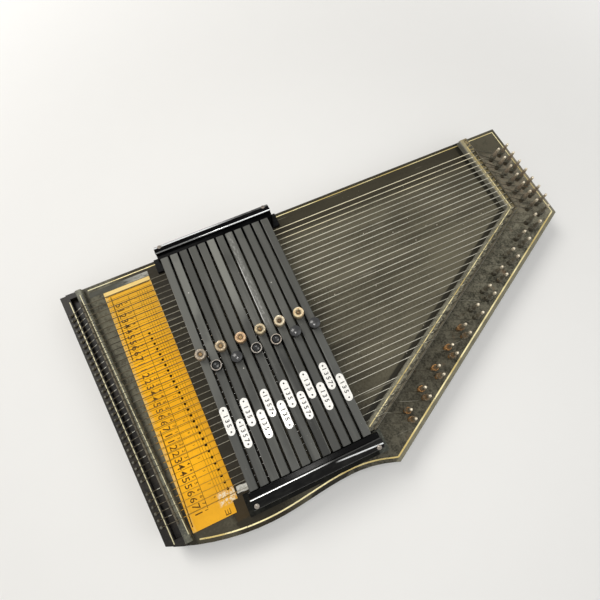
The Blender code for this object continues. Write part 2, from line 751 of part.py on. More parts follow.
def felt_outline(chord):
    """Side view of a damper felt: a strip with a notch over each string that its chord leaves free."""
    root, steps = chord
    free = {(root + step) % 12 for step in steps}
    top = FELT_BOTTOM + FELT_HEIGHT
    notch_top = top - FELT_BACKING
    start = BAR_TREBLE_Y + FELT_END_MARGIN
    end = BAR_BASS_Y - FELT_END_MARGIN
    points = [(end, top), (start, top), (start, FELT_BOTTOM)]
    for index, note in reversed(list(enumerate(string_notes()))):
        if note % 12 in free:
            low = max(string_y(index) - FELT_NOTCH / 2, start + FELT_END_MARGIN)
            high = min(string_y(index) + FELT_NOTCH / 2, end - FELT_END_MARGIN)
            points += [(low, FELT_BOTTOM), (low, notch_top), (high, notch_top), (high, FELT_BOTTOM)]
    points.append((end, FELT_BOTTOM))
    return points


def make_bar_mesh(finish):
    """One chord bar, centred on x: a beam with a lower and narrower tongue at each end."""
    half = BAR_WIDTH / 2
    shape = box(-half, half, BAR_TREBLE_Y, BAR_BASS_Y, BAR_BOTTOM, BAR_TOP)
    long_edges = [
        e for e in shape.edges
        if all(abs(v.co.z - BAR_TOP) < 1e-7 for v in e.verts) and abs(e.verts[0].co.x - e.verts[1].co.x) < 1e-7]
    bmesh.ops.bevel(shape, geom=long_edges, offset=BAR_EDGE_ROUND, segments=1, affect="EDGES")
    bar = shape_to_object("chord_bar", shape, finish)
    tongue_half = TONGUE_WIDTH / 2
    tongue = box(
        -tongue_half, tongue_half, BAR_TREBLE_Y - TONGUE_LENGTH, BAR_BASS_Y + TONGUE_LENGTH,
        BAR_BOTTOM, TONGUE_TOP)
    combine(bar, [tongue], "UNION")
    mesh = bar.data
    bpy.data.objects.remove(bar)
    return mesh


def make_button_shape():
    """A push button with a rounded rim and a screw recess in its top."""
    base = BAR_TOP + GAP
    top = base + BUTTON_HEIGHT
    profile = [
        (BUTTON_FOOT_RADIUS, base), (BUTTON_RADIUS, base + BUTTON_FOOT_HEIGHT),
        (BUTTON_RADIUS, top - BUTTON_SHOULDER_DROP), (BUTTON_RIM_RADIUS, top),
        (BUTTON_RECESS_RADIUS, top), (BUTTON_RECESS_FLOOR_RADIUS, top - BUTTON_RECESS_DEPTH)]
    return turned(profile, BUTTON_SIDES)


def make_bars(bar_paint, felt, pale, dark):
    bar_mesh = make_bar_mesh(bar_paint)
    buttons = []
    for name, finish in (("pale_button", pale), ("dark_button", dark)):
        pattern = shape_to_object(name, make_button_shape(), finish)
        smooth_round(pattern, 30)
        buttons.append(pattern.data)
        bpy.data.objects.remove(pattern)
    for index in range(BAR_COUNT):
        number = index + 1
        x = bar_x(index)
        bar = add_object("chord_bar_%02d" % number, bar_mesh)
        bar.location.x = x
        half = FELT_WIDTH / 2
        strip_shape = along_x(felt_outline(CHORDS[index]), -half, half)
        strip = shape_to_object("damper_felt_%02d" % number, strip_shape, felt)
        strip.location.x = x
        button = add_object("button_%02d" % number, buttons[index % 2])
        button.location = (x, DARK_BUTTON_Y if index % 2 else PALE_BUTTON_Y, 0)


def comb_plan(depth):
    """Plan of the comb in x and outward depth: a back wall with teeth between the bar slots."""
    left = bar_x(0) - SLOT_WIDTH / 2 - COMB_END_WALL
    right = LAST_BAR_X + SLOT_WIDTH / 2 + COMB_PIN_END_WALL
    slot_end = SHOULDER_CLEARANCE + TONGUE_LENGTH
    points = [(left, depth), (left, 0)]
    for index in range(BAR_COUNT):
        low = bar_x(index) - SLOT_WIDTH / 2
        high = bar_x(index) + SLOT_WIDTH / 2
        points += [(low, 0), (low, slot_end), (high, slot_end), (high, 0)]
    points += [(right, 0), (right, depth)]
    return points


def cover_profile(shrink=0.0):
    """Cross-section of the cover in outward depth and height: shelf over the tongues, then the ridge."""
    bottom = TOP_Z + BASE_HEIGHT + GAP
    shelf = SHELF_TOP - shrink
    ridge_front = SHELF_WIDTH + shrink
    ridge_top = SHELF_TOP + COVER_RIDGE_RISE - shrink
    back = COVER_DEPTH - shrink
    slope_end = ridge_top - COVER_SLOPE_DROP
    cut = COVER_ROUND
    return [
        (0, bottom), (0, shelf), (ridge_front, shelf), (ridge_front, ridge_top - cut / 2),
        (ridge_front + cut / 2, ridge_top), (back - cut * 2, slope_end + cut / 2),
        (back - cut / 2, slope_end - cut / 2), (back, slope_end - cut * 2), (back + COVER_DRAFT, bottom)]


def make_holder(name, face_y, outward, base_reach, black, plate_paint):
    """One bar holder. face_y is the comb's inner face and outward is +1 or -1 along y."""
    comb_left = bar_x(0) - SLOT_WIDTH / 2 - COMB_END_WALL
    comb_right = LAST_BAR_X + SLOT_WIDTH / 2 + COMB_PIN_END_WALL
    cover_left = comb_left - GAP - COVER_WALL
    cover_right = comb_right + GAP + COVER_WALL
    comb_depth = COVER_DEPTH - COVER_WALL - GAP

    def place(x, depth, z):
        return x, face_y + outward * depth, z

    base_left = cover_left - BASE_OVERHANG
    base_right = cover_right + BASE_OVERHANG
    base_depth = COVER_DEPTH + base_reach
    base = extruded(
        [(base_left, 0), (base_right, 0), (base_right, base_depth), (base_left, base_depth)],
        TOP_Z + GAP, TOP_Z + BASE_HEIGHT, place)
    comb = shape_to_object(name + "_comb", base, plate_paint)
    plinth = extruded(
        [(comb_left, 0), (comb_right, 0), (comb_right, comb_depth), (comb_left, comb_depth)],
        TOP_Z + BASE_HEIGHT / 2, TOP_Z + COMB_FLOOR, place)
    combine(comb, [plinth], "UNION")
    teeth = extruded(comb_plan(comb_depth), TOP_Z + COMB_FLOOR - GAP, TONGUE_TOP, place)
    combine(comb, [teeth], "UNION")

    cover_shape = extruded(
        cover_profile(), cover_left, cover_right, lambda a, b, c: place(c, a, b))
    cover = shape_to_object(name + "_cover", cover_shape, black)
    inner = [(-COVER_WALL, TOP_Z)] + cover_profile(COVER_WALL)[1:-1]
    inner[1] = (-COVER_WALL, inner[1][1])
    inner.append((COVER_DEPTH - COVER_WALL, TOP_Z))
    hollow = extruded(inner, comb_left - GAP, comb_right + GAP, lambda a, b, c: place(c, a, b))
    combine(cover, [hollow], "DIFFERENCE")
    smooth_round(cover, 40)


def main():
    for old in list(bpy.data.objects):
        bpy.data.objects.remove(old)
    lacquer = material("black lacquer", (0.030, 0.030, 0.024), 0.35)
    plank = material("pin block maple", (0.045, 0.038, 0.028), 0.5)
    wood = material("spruce", (0.48, 0.32, 0.17), 0.7)
    rubber = material("black rubber", (0.02, 0.02, 0.02), 0.85)
    steel = material("string steel", (0.42, 0.38, 0.32), 0.35, 1.0)
    card = material("yellow card", (0.93, 0.47, 0.02), 0.6)
    bar_paint = material("grey bar paint", (0.060, 0.065, 0.062), 0.6)
    felt = material("green felt", (0.10, 0.17, 0.11), 0.95)
    pale = material("pale horn buttons", (0.42, 0.30, 0.20), 0.35)
    dark = material("dark buttons", (0.03, 0.03, 0.03), 0.2)
    black = material("black holder gloss", (0.012, 0.012, 0.013), 0.18)
    plate_paint = material("holder base paint", (0.05, 0.052, 0.048), 0.5)
    make_boards(lacquer)
    make_rims(lacquer)
    make_tail_block(lacquer)
    make_pin_blocks(plank)
    make_braces(wood)
    make_feet(rubber)
    make_rails(lacquer)
    make_tail_rod(steel)
    make_strings(steel)
    make_chart(card)
    make_bars(bar_paint, felt, pale, dark)
    make_holder("bass_holder", BAR_BASS_Y + SHOULDER_CLEARANCE, 1, 0.0, black, plate_paint)
    make_holder("treble_holder", BAR_TREBLE_Y - SHOULDER_CLEARANCE, -1, TREBLE_BASE_OUTREACH, black, plate_paint)


main()
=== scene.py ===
from math import acos, atan2, cos, pi, radians, sin, sqrt, tan
import bmesh
import bpy
from mathutils import Matrix, Vector


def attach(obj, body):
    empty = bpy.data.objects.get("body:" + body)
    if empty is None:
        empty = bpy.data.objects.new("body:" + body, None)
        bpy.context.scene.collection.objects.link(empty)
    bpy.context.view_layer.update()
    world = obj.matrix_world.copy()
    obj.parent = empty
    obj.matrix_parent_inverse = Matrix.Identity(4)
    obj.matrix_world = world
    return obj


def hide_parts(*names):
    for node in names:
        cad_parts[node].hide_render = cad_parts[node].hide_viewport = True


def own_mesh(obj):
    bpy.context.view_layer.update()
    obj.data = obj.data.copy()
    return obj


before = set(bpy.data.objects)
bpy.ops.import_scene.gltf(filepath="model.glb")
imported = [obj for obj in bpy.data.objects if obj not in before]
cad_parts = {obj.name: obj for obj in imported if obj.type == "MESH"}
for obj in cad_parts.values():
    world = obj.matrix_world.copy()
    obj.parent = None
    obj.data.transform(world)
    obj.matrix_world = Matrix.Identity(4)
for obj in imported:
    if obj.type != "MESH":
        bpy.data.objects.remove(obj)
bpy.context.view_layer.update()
print("frame loaded,", len(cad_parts), "nodes")

# plan of the instrument in metres: x along the strings, y towards the bass side, z up
plan = {
    "length": 0.545, "width": 0.292, "boardTop": 0.036, "tailSlant": radians(5.47),
    "shortSlant": radians(2.15), "shortDrop": 0.128, "longAngle": radians(29.3),
    "tailCornerRise": 0.0237, "bulgeBack": 0.131, "bulgeRise": 0.0031, "waistBack": 0.0469, "waistRise": 0.0094,
    "railStart": 0.0189, "railHeight": 0.0077, "pinRailWidth": 0.0105, "shortRailInset": 0.0428,
    "longRailAngle": radians(29.83), "longRailRise": 0.0449, "rodRadius": 0.001, "rodSetback": 0.0018,
    "rodLift": 0.0003, "ledgeDepth": 0.002,
}
bassY = plan["width"] / 2
trebleY = -bassY
tailEnd = -plan["length"] / 2
pinEnd = plan["length"] / 2
cornerY = bassY - plan["shortDrop"]
trebleCornerX = pinEnd - (cornerY - trebleY) / tan(plan["longAngle"])
boardTop = plan["boardTop"]
railTop = boardTop + plan["railHeight"]
rodTop = railTop + plan["rodLift"] + 2 * plan["rodRadius"]


def tailX(y, inset=0.0):
    return tailEnd + (bassY - y) * tan(plan["tailSlant"]) + inset / cos(plan["tailSlant"])


def shortX(y, inset=0.0):
    return pinEnd - (y - cornerY) * tan(plan["shortSlant"]) - inset / cos(plan["shortSlant"])


def longY(x, inset=0.0):
    return cornerY + (x - pinEnd) * tan(plan["longAngle"]) + inset / cos(plan["longAngle"])


def longRailY(x, inset=0.0):
    angle = plan["longRailAngle"]
    return cornerY + plan["longRailRise"] + inset / cos(angle) + (x - pinEnd) * tan(angle)


def longRailX(y, inset=0.0):
    return pinEnd + (y - longRailY(pinEnd, inset)) / tan(plan["longRailAngle"])


def curveY(x):  # the treble side: bulge, waist, corner
    startY = trebleY + plan["tailCornerRise"]
    startX = tailX(startY)
    bulgeX, bulgeY = trebleCornerX - plan["bulgeBack"], trebleY + plan["bulgeRise"]
    waistX, waistY = trebleCornerX - plan["waistBack"], trebleY + plan["waistRise"]
    if x < bulgeX:
        return bulgeY + (startY - bulgeY) * ((bulgeX - x) / (bulgeX - startX)) ** 2
    if x < waistX:
        return bulgeY + (waistY - bulgeY) * (1 - cos(pi * (x - bulgeX) / (waistX - bulgeX))) / 2
    return waistY + (trebleY - waistY) * ((x - waistX) / (trebleCornerX - waistX)) ** 2


def meeting(lineX, lineY):  # where a steep line and a flat one cross
    x = pinEnd
    for _ in range(20):
        x = lineX(lineY(x))
    return x, lineY(x)


def railCorner(inset):
    return meeting(lambda y: shortX(y, plan["shortRailInset"] + inset), lambda x: longRailY(x, inset))


strings = {
    "count": 37, "pitch": 0.00632, "firstFromEdge": 0.0243, "bassRadius": 0.00048, "trebleRadius": 0.00028,
    "sides": 6, "hitchInset": 0.0036, "loopRadius": 0.0013, "loopWire": 0.00035, "loopLift": 0.0011,
    "nail": [(0.0008, 0.0003), (0.0008, 0.0024), (0.0012, 0.0026), (0.00112, 0.003), (0.00048, 0.0033)],
    # the string that is missing, and its stump: how far back, aside and above the rail
    "broken": 30, "stump": [(0.0088, 0.0013, 0.0021), (0.006, 0.0005, 0.0012), (0.002, 0.0, 0.0016)],
}
pins = {
    "shortCount": 15, "shortPitch": 0.0123, "shortOuter": 0.0157, "shortInner": 0.0285, "lastShift": 0.0055,
    "firstFromEdge": 0.0367, "innerShift": 0.0014, "longOuter": 0.0133, "longInner": 0.0212,
    "pairFromCorner": 0.0402, "radius": 0.0023, "coilBottom": 0.0042, "coilRadius": 0.0028,
    # share of the radius, height above the board, how square
    "profile": [(1.0, -0.016, 0.0), (1.0, 0.0096, 0.0), (0.94, 0.0108, 0.1), (0.72, 0.0128, 0.75),
                (0.6984, 0.019, 0.75), (0.648, 0.0208, 0.7), (0.504, 0.0216, 0.5), (0.216, 0.022, 0.2)],
}
bars = {
    "count": 12, "pitch": 0.01, "width": 0.00775, "firstX": -0.1531, "top": 0.0672, "travel": 0.0033,
    "bassY": 0.1287, "trebleY": -0.1098, "bassFace": 0.1293, "trebleFace": -0.1104, "paleY": 0.0184, "darkY": 0.0029,
}


def stringY(index):
    return bassY - strings["firstFromEdge"] - strings["pitch"] * index


def stringRadius(index):
    share = index / (strings["count"] - 1)
    return strings["bassRadius"] + (strings["trebleRadius"] - strings["bassRadius"]) * share


def barX(index):
    return bars["firstX"] + bars["pitch"] * index


def pinPlaces():
    places = []
    for index in range(pins["shortCount"]):
        step, inner = divmod(index, 2)
        y = bassY - pins["firstFromEdge"] - pins["shortPitch"] * step - pins["innerShift"] * inner
        inset = pins["shortInner"] if inner else pins["shortOuter"]
        if index == pins["shortCount"] - 1:
            inset += pins["lastShift"]
        places.append((shortX(y, inset), y))
    pairStep = 2 * strings["pitch"] / tan(plan["longAngle"])
    for index in range(strings["count"] - pins["shortCount"]):
        step, outer = divmod(index, 2)
        x = pinEnd - pins["pairFromCorner"] - pairStep * step
        places.append((x, longY(x, pins["longOuter"] if outer else pins["longInner"])))
    return places


def saddleX(y):
    return min(shortX(y, plan["shortRailInset"] + plan["rodSetback"]), longRailX(y, plan["rodSetback"]))


# node trees

def mathMethod(operation, swapped=False):
    def method(self, other=0.0):
        values = (other, self) if swapped else (self, other)
        return self.sheet.add("Math", dict(enumerate(values)), operation=operation)
    return method


class Wire:  # a socket that takes part in plain arithmetic
    __add__, __radd__ = mathMethod("ADD"), mathMethod("ADD", True)
    __sub__, __rsub__ = mathMethod("SUBTRACT"), mathMethod("SUBTRACT", True)
    __mul__, __rmul__ = mathMethod("MULTIPLY"), mathMethod("MULTIPLY", True)
    __truediv__, __abs__ = mathMethod("DIVIDE"), mathMethod("ABSOLUTE")
    least, most = mathMethod("MINIMUM"), mathMethod("MAXIMUM")
    part = mathMethod("FRACT")  # what is left after the whole numbers

    def __init__(self, sheet, socket):
        self.sheet, self.socket = sheet, socket

    def ramp(self, start, end):  # 0 at start, 1 at end, smooth in between
        return self.sheet.add("MapRange", {"Value": self, "From Min": start, "From Max": end},
                              interpolation_type="SMOOTHSTEP")

    def near(self, middle, inner, outer):  # 1 up to inner from the middle, 0 beyond outer
        return abs(self - middle).ramp(outer, inner)


class Sheet:  # builds any node: its settings first, then the values or links of its sockets
    prefix = "ShaderNode"

    def __init__(self, tree):
        self.tree = tree

    def add(self, kind, values=None, out=0, **settings):
        node = self.tree.nodes.new(kind if "Node" in kind else self.prefix + kind)
        for key, value in settings.items():
            setattr(node, key, value)
        inputs, outputs = ({socket.identifier: socket for socket in side} for side in (node.inputs, node.outputs))
        for key, value in (values or {}).items():
            socket = inputs[key] if key in inputs else node.inputs[key]
            if isinstance(value, Wire):
                self.tree.links.new(value.socket, socket)
            else:
                socket.default_value = value
        if out is not None:
            return Wire(self, outputs[out] if out in outputs else node.outputs[out])


class Paint(Sheet):  # one material
    names = {"colour": "Base Color", "roughness": "Roughness", "metallic": "Metallic", "normal": "Normal",
             "coat": "Coat Weight", "coatRoughness": "Coat Roughness", "gloss": "Specular IOR Level",
             "sheen": "Sheen Weight", "sheenRoughness": "Sheen Roughness", "glow": "Emission Color",
             "glowStrength": "Emission Strength"}

    def __init__(self, name):
        self.material = bpy.data.materials.new(name)
        self.material.use_nodes = True
        super().__init__(self.material.node_tree)
        self.tree.nodes.clear()
        self.place = self.add("TexCoord", out="Object")
        self.x, self.y, self.z = (self.add("SeparateXYZ", {0: self.place}, axis) for axis in range(3))

    def noise(self, scale, detail=3.0, rough=0.5, stretch=(1.0, 1.0, 1.0), shift=(0.0, 0.0, 0.0)):
        place = self.add("Mapping", {"Vector": self.place, "Scale": stretch, "Location": shift})
        return self.add("TexNoise", {"Vector": place, "Scale": scale, "Detail": detail, "Roughness": rough})

    def specks(self, scale, outer, inner):
        return self.add("TexVoronoi", {"Vector": self.place, "Scale": scale}).ramp(outer, inner)

    def blend(self, first, second, amount, kind="MIX"):
        first, second = ((*c, 1.0) if isinstance(c, tuple) else c for c in (first, second))
        return self.add("Mix", {"Factor_Float": amount, "A_Color": first, "B_Color": second}, "Result_Color",
                        data_type="RGBA", blend_type=kind)

    def coats(self, colour, *others):  # each colour laid over the last by its amount
        for other, amount in others:
            colour = self.blend(colour, other, amount)
        return colour

    def done(self, colour, roughness, bump=None, **values):
        values.update(colour=colour, roughness=roughness)
        if bump:
            values["normal"] = self.add("Bump", dict(zip(("Height", "Strength", "Distance"), bump)))
        chosen = {self.names[key]: (*v, 1.0) if isinstance(v, tuple) else v for key, v in values.items()}
        self.add("OutputMaterial", {"Surface": self.add("BsdfPrincipled", chosen)}, None)
        return self.material

    def beyondRails(self):  # how far outside the outer faces of the pin rails, and inside them below nought
        angle = plan["longRailAngle"]
        beyondLong = (self.x * tan(angle) + longRailY(0.0) - self.y) * cos(angle)
        return beyondLong.most(self.x + self.y * tan(plan["shortSlant"]) - shortX(0.0, plan["shortRailInset"]))

    def fromTail(self):  # how far in from the tail edge
        return self.x + self.y * tan(plan["tailSlant"]) - tailX(0.0)

    def fromLongEnd(self):  # how far in from the long slanted edge
        angle = plan["longAngle"]
        return (self.y - self.x * tan(angle) - longY(0.0)) * cos(angle)

    def acrossCard(self):  # how far across the chart card from its left edge
        return self.x + self.y * chartLook["lean"] - chartX(0.0, 0.0)

    def fromBox(self, middle, half):  # less than 1 in a box, more outside
        return (abs(self.x - middle[0]) / half[0]).most(abs(self.y - middle[1]) / half[1])


class Growth(Sheet):  # one Geometry Nodes tree with named inputs
    prefix = "GeometryNode"

    def __init__(self, name, **inputs):
        super().__init__(bpy.data.node_groups.new(name, "GeometryNodeTree"))
        for label, kind in {"Geometry": "Geometry", **inputs, "finish": "Material"}.items():
            self.tree.interface.new_socket(label, in_out="INPUT", socket_type="NodeSocket" + kind)
        self.tree.interface.new_socket("Geometry", in_out="OUTPUT", socket_type="NodeSocketGeometry")
        entry = self.tree.nodes.new("NodeGroupInput")
        self.given = {socket.name: Wire(self, socket) for socket in entry.outputs if socket.name}

    def tube(self, path, sides, radius, **more):  # a round wire along a path
        circle = self.add("CurvePrimitiveCircle", {"Resolution": sides, "Radius": radius})
        return self.add("CurveToMesh", {"Curve": path, "Profile Curve": circle, "Fill Caps": True, **more})

    def random(self, low, high):  # another vector for each point
        return self.add("FunctionNodeRandomValue", {"Min": low, "Max": high, "Seed": self.given["seed"]},
                        data_type="FLOAT_VECTOR")

    def onPoints(self, points, shape, turn, **more):
        turned = self.random((0.0, 0.0, 0.0), turn)
        return self.add("InstanceOnPoints", {"Points": points, "Instance": shape, "Rotation": turned, **more})

    def end(self, shape, smooth=True):
        for kind, more in (("SetShadeSmooth", {"Shade Smooth": smooth}), ("RealizeInstances", {}),
                           ("SetMaterial", {"Material": self.given["finish"]})):
            shape = self.add(kind, {"Geometry": shape, **more})
        self.add("NodeGroupOutput", {"Geometry": shape}, None)


def smoothBy(mesh, degrees):  # smooth apart from edges sharper than this
    mesh.shade_smooth()
    mesh.set_sharp_from_angle(angle=radians(degrees))


def faceOut(mesh):  # closed shells, so the outside can be worked out
    shape = bmesh.new()
    shape.from_mesh(mesh)
    bmesh.ops.remove_doubles(shape, verts=shape.verts, dist=1e-7)
    bmesh.ops.recalc_face_normals(shape, faces=shape.faces)
    shape.to_mesh(mesh)
    shape.free()


def stand(name, data):  # a new object in the scene
    item = bpy.data.objects.new(name, data)
    bpy.context.scene.collection.objects.link(item)
    return item


def place(name, mesh, body, slot, finish=None, smooth=None):
    piece = stand(name, mesh)
    if finish:
        mesh.materials.clear()
        mesh.materials.append(finishes[finish])
    faceOut(mesh)
    if smooth:
        smoothBy(mesh, smooth)
    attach(piece, body)
    return piece


def grow(name, growth, base, body, slot, finish, **values):
    seed = stand(name, base)
    modifier = seed.modifiers.new("grow", "NODES")
    modifier.node_group = growth.tree
    values["finish"] = finishes[finish]
    for item in growth.tree.interface.items_tree:
        if item.in_out == "INPUT" and item.name in values:
            modifier[item.identifier] = values[item.name]
    depsgraph = bpy.context.evaluated_depsgraph_get()
    mesh = bpy.data.meshes.new_from_object(seed.evaluated_get(depsgraph), depsgraph=depsgraph)
    seed.modifiers.remove(modifier)
    bpy.data.objects.remove(seed)
    return place(name, mesh, body, slot)


def shapeMesh(name, shape):
    mesh = bpy.data.meshes.new(name)
    shape.to_mesh(mesh)
    shape.free()
    return mesh


def pointMesh(name, points, edges=(), faces=()):
    mesh = bpy.data.meshes.new(name)
    mesh.from_pydata(points, edges, faces)
    return mesh


def lines(name, paths, sizes):  # bare edges through points, with a radius for each point
    points, edges = [], []
    for path in paths:
        edges += [(len(points) + i, len(points) + i + 1) for i in range(len(path) - 1)]
        points += path
    mesh = pointMesh(name, points, edges)
    mesh.attributes.new("thick", "FLOAT", "POINT").data.foreach_set("value", sizes)
    return mesh


def skin(shape, rings):  # walls from ring to ring, closed at both ends
    rings = [[shape.verts.new(point) for point in ring] for ring in rings]
    for one, two in zip(rings, rings[1:]):
        for i in range(len(one)):
            j = (i + 1) % len(one)
            shape.faces.new((one[i], one[j], two[j], two[i]))
    shape.faces.new(rings[0][::-1])
    shape.faces.new(rings[-1])


def ringMesh(name, rings):
    shape = bmesh.new()
    skin(shape, rings)
    return shapeMesh(name, shape)


def addRibbon(shape, points, width, low, high):  # a flat strip along points, mitred at its bends
    points = [Vector(point) for point in points]
    rings = []
    for index, here in enumerate(points):
        before = (here - points[index - 1]).normalized() if index else None
        after = (points[index + 1] - here).normalized() if index < len(points) - 1 else None
        along = ((before or after) + (after or before)).normalized()
        reach = width / 2 / max(0.3, along.dot(after or before))
        side = Vector((-along.y, along.x)) * reach
        left, right = here + side, here - side
        rings.append([(*left, low), (*right, low), (*right, high), (*left, high)])
    skin(shape, rings)


def addText(shape, text, size, x, y, z, deep, bold=0.0):  # raised plain numbers, read from the bass side
    data = bpy.data.curves.new("number", "FONT")
    for key, value in {"body": text, "size": size, "extrude": deep / 2, "offset": bold, "resolution_u": 2,
                       "align_x": "CENTER", "align_y": "CENTER"}.items():
        setattr(data, key, value)
    holder = stand("number", data)
    mesh = bpy.data.meshes.new_from_object(holder)
    mesh.transform(Matrix.Translation((x, y, z)) @ Matrix.Rotation(-pi / 2, 4, "Z"))
    shape.from_mesh(mesh)
    bpy.data.objects.remove(holder)
    bpy.data.meshes.remove(mesh)


def turnedMesh(name, profile, sides, x=0.0, y=0.0):  # a lathe: radius, height and squareness from bottom to top
    rings = []
    for radius, z, *square in profile:
        amount = sum(square)
        ring = []
        for i in range(sides):
            angle = 2 * pi * (i + 0.5) / sides
            c, s = cos(angle), sin(angle)
            reach = radius * (1 - amount + amount * 0.84 / max(abs(c), abs(s)))
            ring.append((x + reach * c, y + reach * s, z))
        rings.append(ring)
    return ringMesh(name, rings)


# finishes

boardLook = {
    "dark": (0.021, 0.017, 0.009), "dusty": (0.152, 0.139, 0.095), "pale": (0.4, 0.38, 0.31),
    "mottled": (0.172, 0.166, 0.12), "shade": (0.01, 0.009, 0.006), "edge": (0.2, 0.187, 0.13),
    "stain": (0.034, 0.022, 0.007), "pinDark": (0.026, 0.026, 0.018), "pinPale": (0.212, 0.198, 0.146),
    "rust": (0.19, 0.085, 0.03), "warm": (0.29, 0.225, 0.16), "rodDirt": (0.175, 0.15, 0.082),
    "corner": (0.04, 0.037, 0.022),
}


def soundboardPaint():
    look = boardLook
    paint = Paint("dusty black lacquer")
    x, y = paint.x, paint.y
    cloud, fine = paint.noise(14.0, 4.0), paint.noise(420.0)
    streak = paint.noise(60.0, 4.0, stretch=(0.12, 1.6, 1.0))
    mottle, grit = paint.noise(210.0, 6.0, 0.72), paint.noise(520.0, 4.0, 0.6, shift=(2.0, 0.0, 0.0))
    rust, blotch = paint.noise(75.0, 4.0, shift=(3.0, 1.0, 0.0)), paint.noise(115.0, 3.0, 0.6, shift=(0.0, 6.0, 0.0))
    scratch = paint.noise(240.0, 2.0, stretch=(0.06, 1.4, 1.0), shift=(0.0, 4.0, 0.0))
    dust = (cloud * 0.4 + streak * 0.35 + fine * 0.25).ramp(0.38, 0.62)
    # dustiest between the bars and the rails, darkest between the chart and the bars and along the bass edge, with a
    # painted shadow of the bars on the board just past the last bar
    besideBars = x.ramp(-0.186, -0.176) * x.ramp(-0.1, -0.15)
    paintedBarShadow = x.ramp(-0.06, -0.05) * x.ramp(0.004, -0.034)
    dusty = 0.2 + x.ramp(-0.1, 0.03) * 0.05 + x.ramp(0.06, 0.14) * 0.1 - besideBars * 0.54 - paintedBarShadow * 0.16
    dusty = (dust * 0.5 + dusty).most(0.0) * (1.0 - y.ramp(0.108, 0.122) * 0.8)
    outside = paint.beyondRails()
    pinZone = outside.ramp(0.0, 0.002)
    grime = (mottle * 0.4 + grit * 0.35 + blotch * 0.25).ramp(0.39, 0.59) * 0.8 + y.ramp(-0.01, 0.05) * 0.46
    pinColour = paint.coats(
        look["pinDark"], (look["pinPale"], grime),
        (look["rust"], rust.ramp(0.62, 0.74) * 0.3),
        (look["warm"], y.ramp(0.02, 0.06) * mottle.ramp(0.4, 0.58) * 0.45),
        (look["rodDirt"], outside.ramp(0.0045, 0.0005) * grit.ramp(0.44, 0.56) * y.ramp(-0.02, 0.04) * 0.8),
        (look["dark"], y.ramp(-0.01, -0.08) * 0.52),
        (look["corner"], y.ramp(0.106, 0.122) * 0.8))
    # painted shade on the board along the inner foot of the pin rails and just inside the tail rail
    foot = (outside + plan["pinRailWidth"]).ramp(-0.006, -0.004) * (1.0 - pinZone)
    stain = (paint.fromBox((-0.1712, -0.12), (0.0092, 0.0105)) + fine * 0.3).ramp(1.25, 0.95)
    colour = paint.coats(
        look["dark"], (look["dusty"], dusty),
        (look["mottled"], x.ramp(-0.2, -0.226) * y.ramp(-0.115, -0.05) * mottle.ramp(0.36, 0.6) * 0.62),
        (pinColour, pinZone),
        (look["edge"], paint.fromLongEnd().ramp(0.004, 0.0032) * pinZone * (0.55 + fine * 0.6)),
        (look["shade"], foot * 0.85),
        (look["shade"], paint.fromTail().ramp(0.03, 0.026) * 0.6),
        (look["stain"], stain * (0.6 + mottle)),
        (look["pale"], paint.specks(260.0, 0.08, 0.03) * cloud.ramp(0.48, 0.6) * 0.7),
        (look["pale"], scratch.ramp(0.7, 0.78) * 0.35))
    return paint.done(colour, 0.36 + fine * 0.18 + dust * 0.16, (fine * 0.5 + streak * 0.5, 0.18, 0.0006), gloss=0.14)


def agedPaint(name, dark, dusty, pale, scales, stretch, roughness, specks, bump=0.15, gloss=0.4, coat=0.0):
    paint = Paint(name)
    cloud, fine = paint.noise(scales[0], 4.0), paint.noise(scales[1], 4.0, 0.6, stretch)
    colour = paint.coats(dark, (dusty, (cloud * 0.5 + fine * 0.5).ramp(0.42, 0.62)),
                         (pale, paint.specks(300.0, 0.09, 0.04) * specks))
    return paint.done(colour, roughness + fine * 0.16, (fine, bump, 0.0005), gloss=gloss, coat=coat,
                      coatRoughness=0.15)


def railPaint():  # worn olive lacquer, with dark gaps between the strings beside the rod
    paint = Paint("worn olive rail lacquer")
    fine, cloud = paint.noise(300.0, 4.0, 0.6), paint.noise(40.0)
    dirt = paint.noise(420.0, shift=(1.0, 3.0, 0.0)).ramp(0.42, 0.56)
    depth = 0.0 - paint.beyondRails()
    onTop = paint.z.ramp(railTop - 0.0004, railTop - 0.0001)
    bass = paint.y.ramp(0.02, 0.06)
    bright = paint.blend((0.185, 0.172, 0.118), (0.235, 0.185, 0.085), bass)
    beat = abs(((paint.y - stringY(0)) / strings["pitch"] + 40.5).part() - 0.5)
    gaps = beat.ramp(0.24, 0.12) * depth.ramp(0.005, 0.0036) * depth.ramp(0.0022, 0.003)
    colour = paint.coats(
        (0.084, 0.08, 0.053), ((0.222, 0.207, 0.14), (cloud * 0.5 + fine * 0.5).ramp(0.4, 0.6)),
        ((0.4, 0.34, 0.19), bass * (0.42 + fine * 0.5) * onTop),
        (paint.blend((0.05, 0.045, 0.029), bright, dirt), depth.ramp(0.0062, 0.0056) * onTop),
        ((0.36, 0.36, 0.31), depth.ramp(0.0096, 0.0101) * onTop * fine.ramp(0.36, 0.52)),
        ((0.02, 0.018, 0.012), gaps * onTop * 0.85),
        ((0.19, 0.185, 0.16), (1.0 - onTop) * (0.3 + fine * 0.5)))
    return paint.done(colour, 0.38 + fine * 0.2, (fine, 0.2, 0.0004), gloss=0.4)


def goldPaint():  # greyer on the tail rail
    paint = Paint("worn gold line")
    fine, cloud = paint.noise(700.0), paint.noise(60.0)
    wear = (fine * 0.5 + cloud * 0.5).ramp(0.32, 0.46)
    bright = paint.noise(25.0, 2.0, shift=(5.0, 0.0, 0.0)).ramp(0.4, 0.6)
    gold = paint.blend((0.54, 0.5, 0.31), paint.blend((0.56, 0.43, 0.15), (0.86, 0.76, 0.42), bright),
                       paint.x.ramp(-0.222, -0.21))
    colour = paint.blend((0.12, 0.105, 0.06), gold, wear * 0.8 + 0.2)
    return paint.done(colour, 0.38 + fine * 0.15, metallic=wear * 0.25)


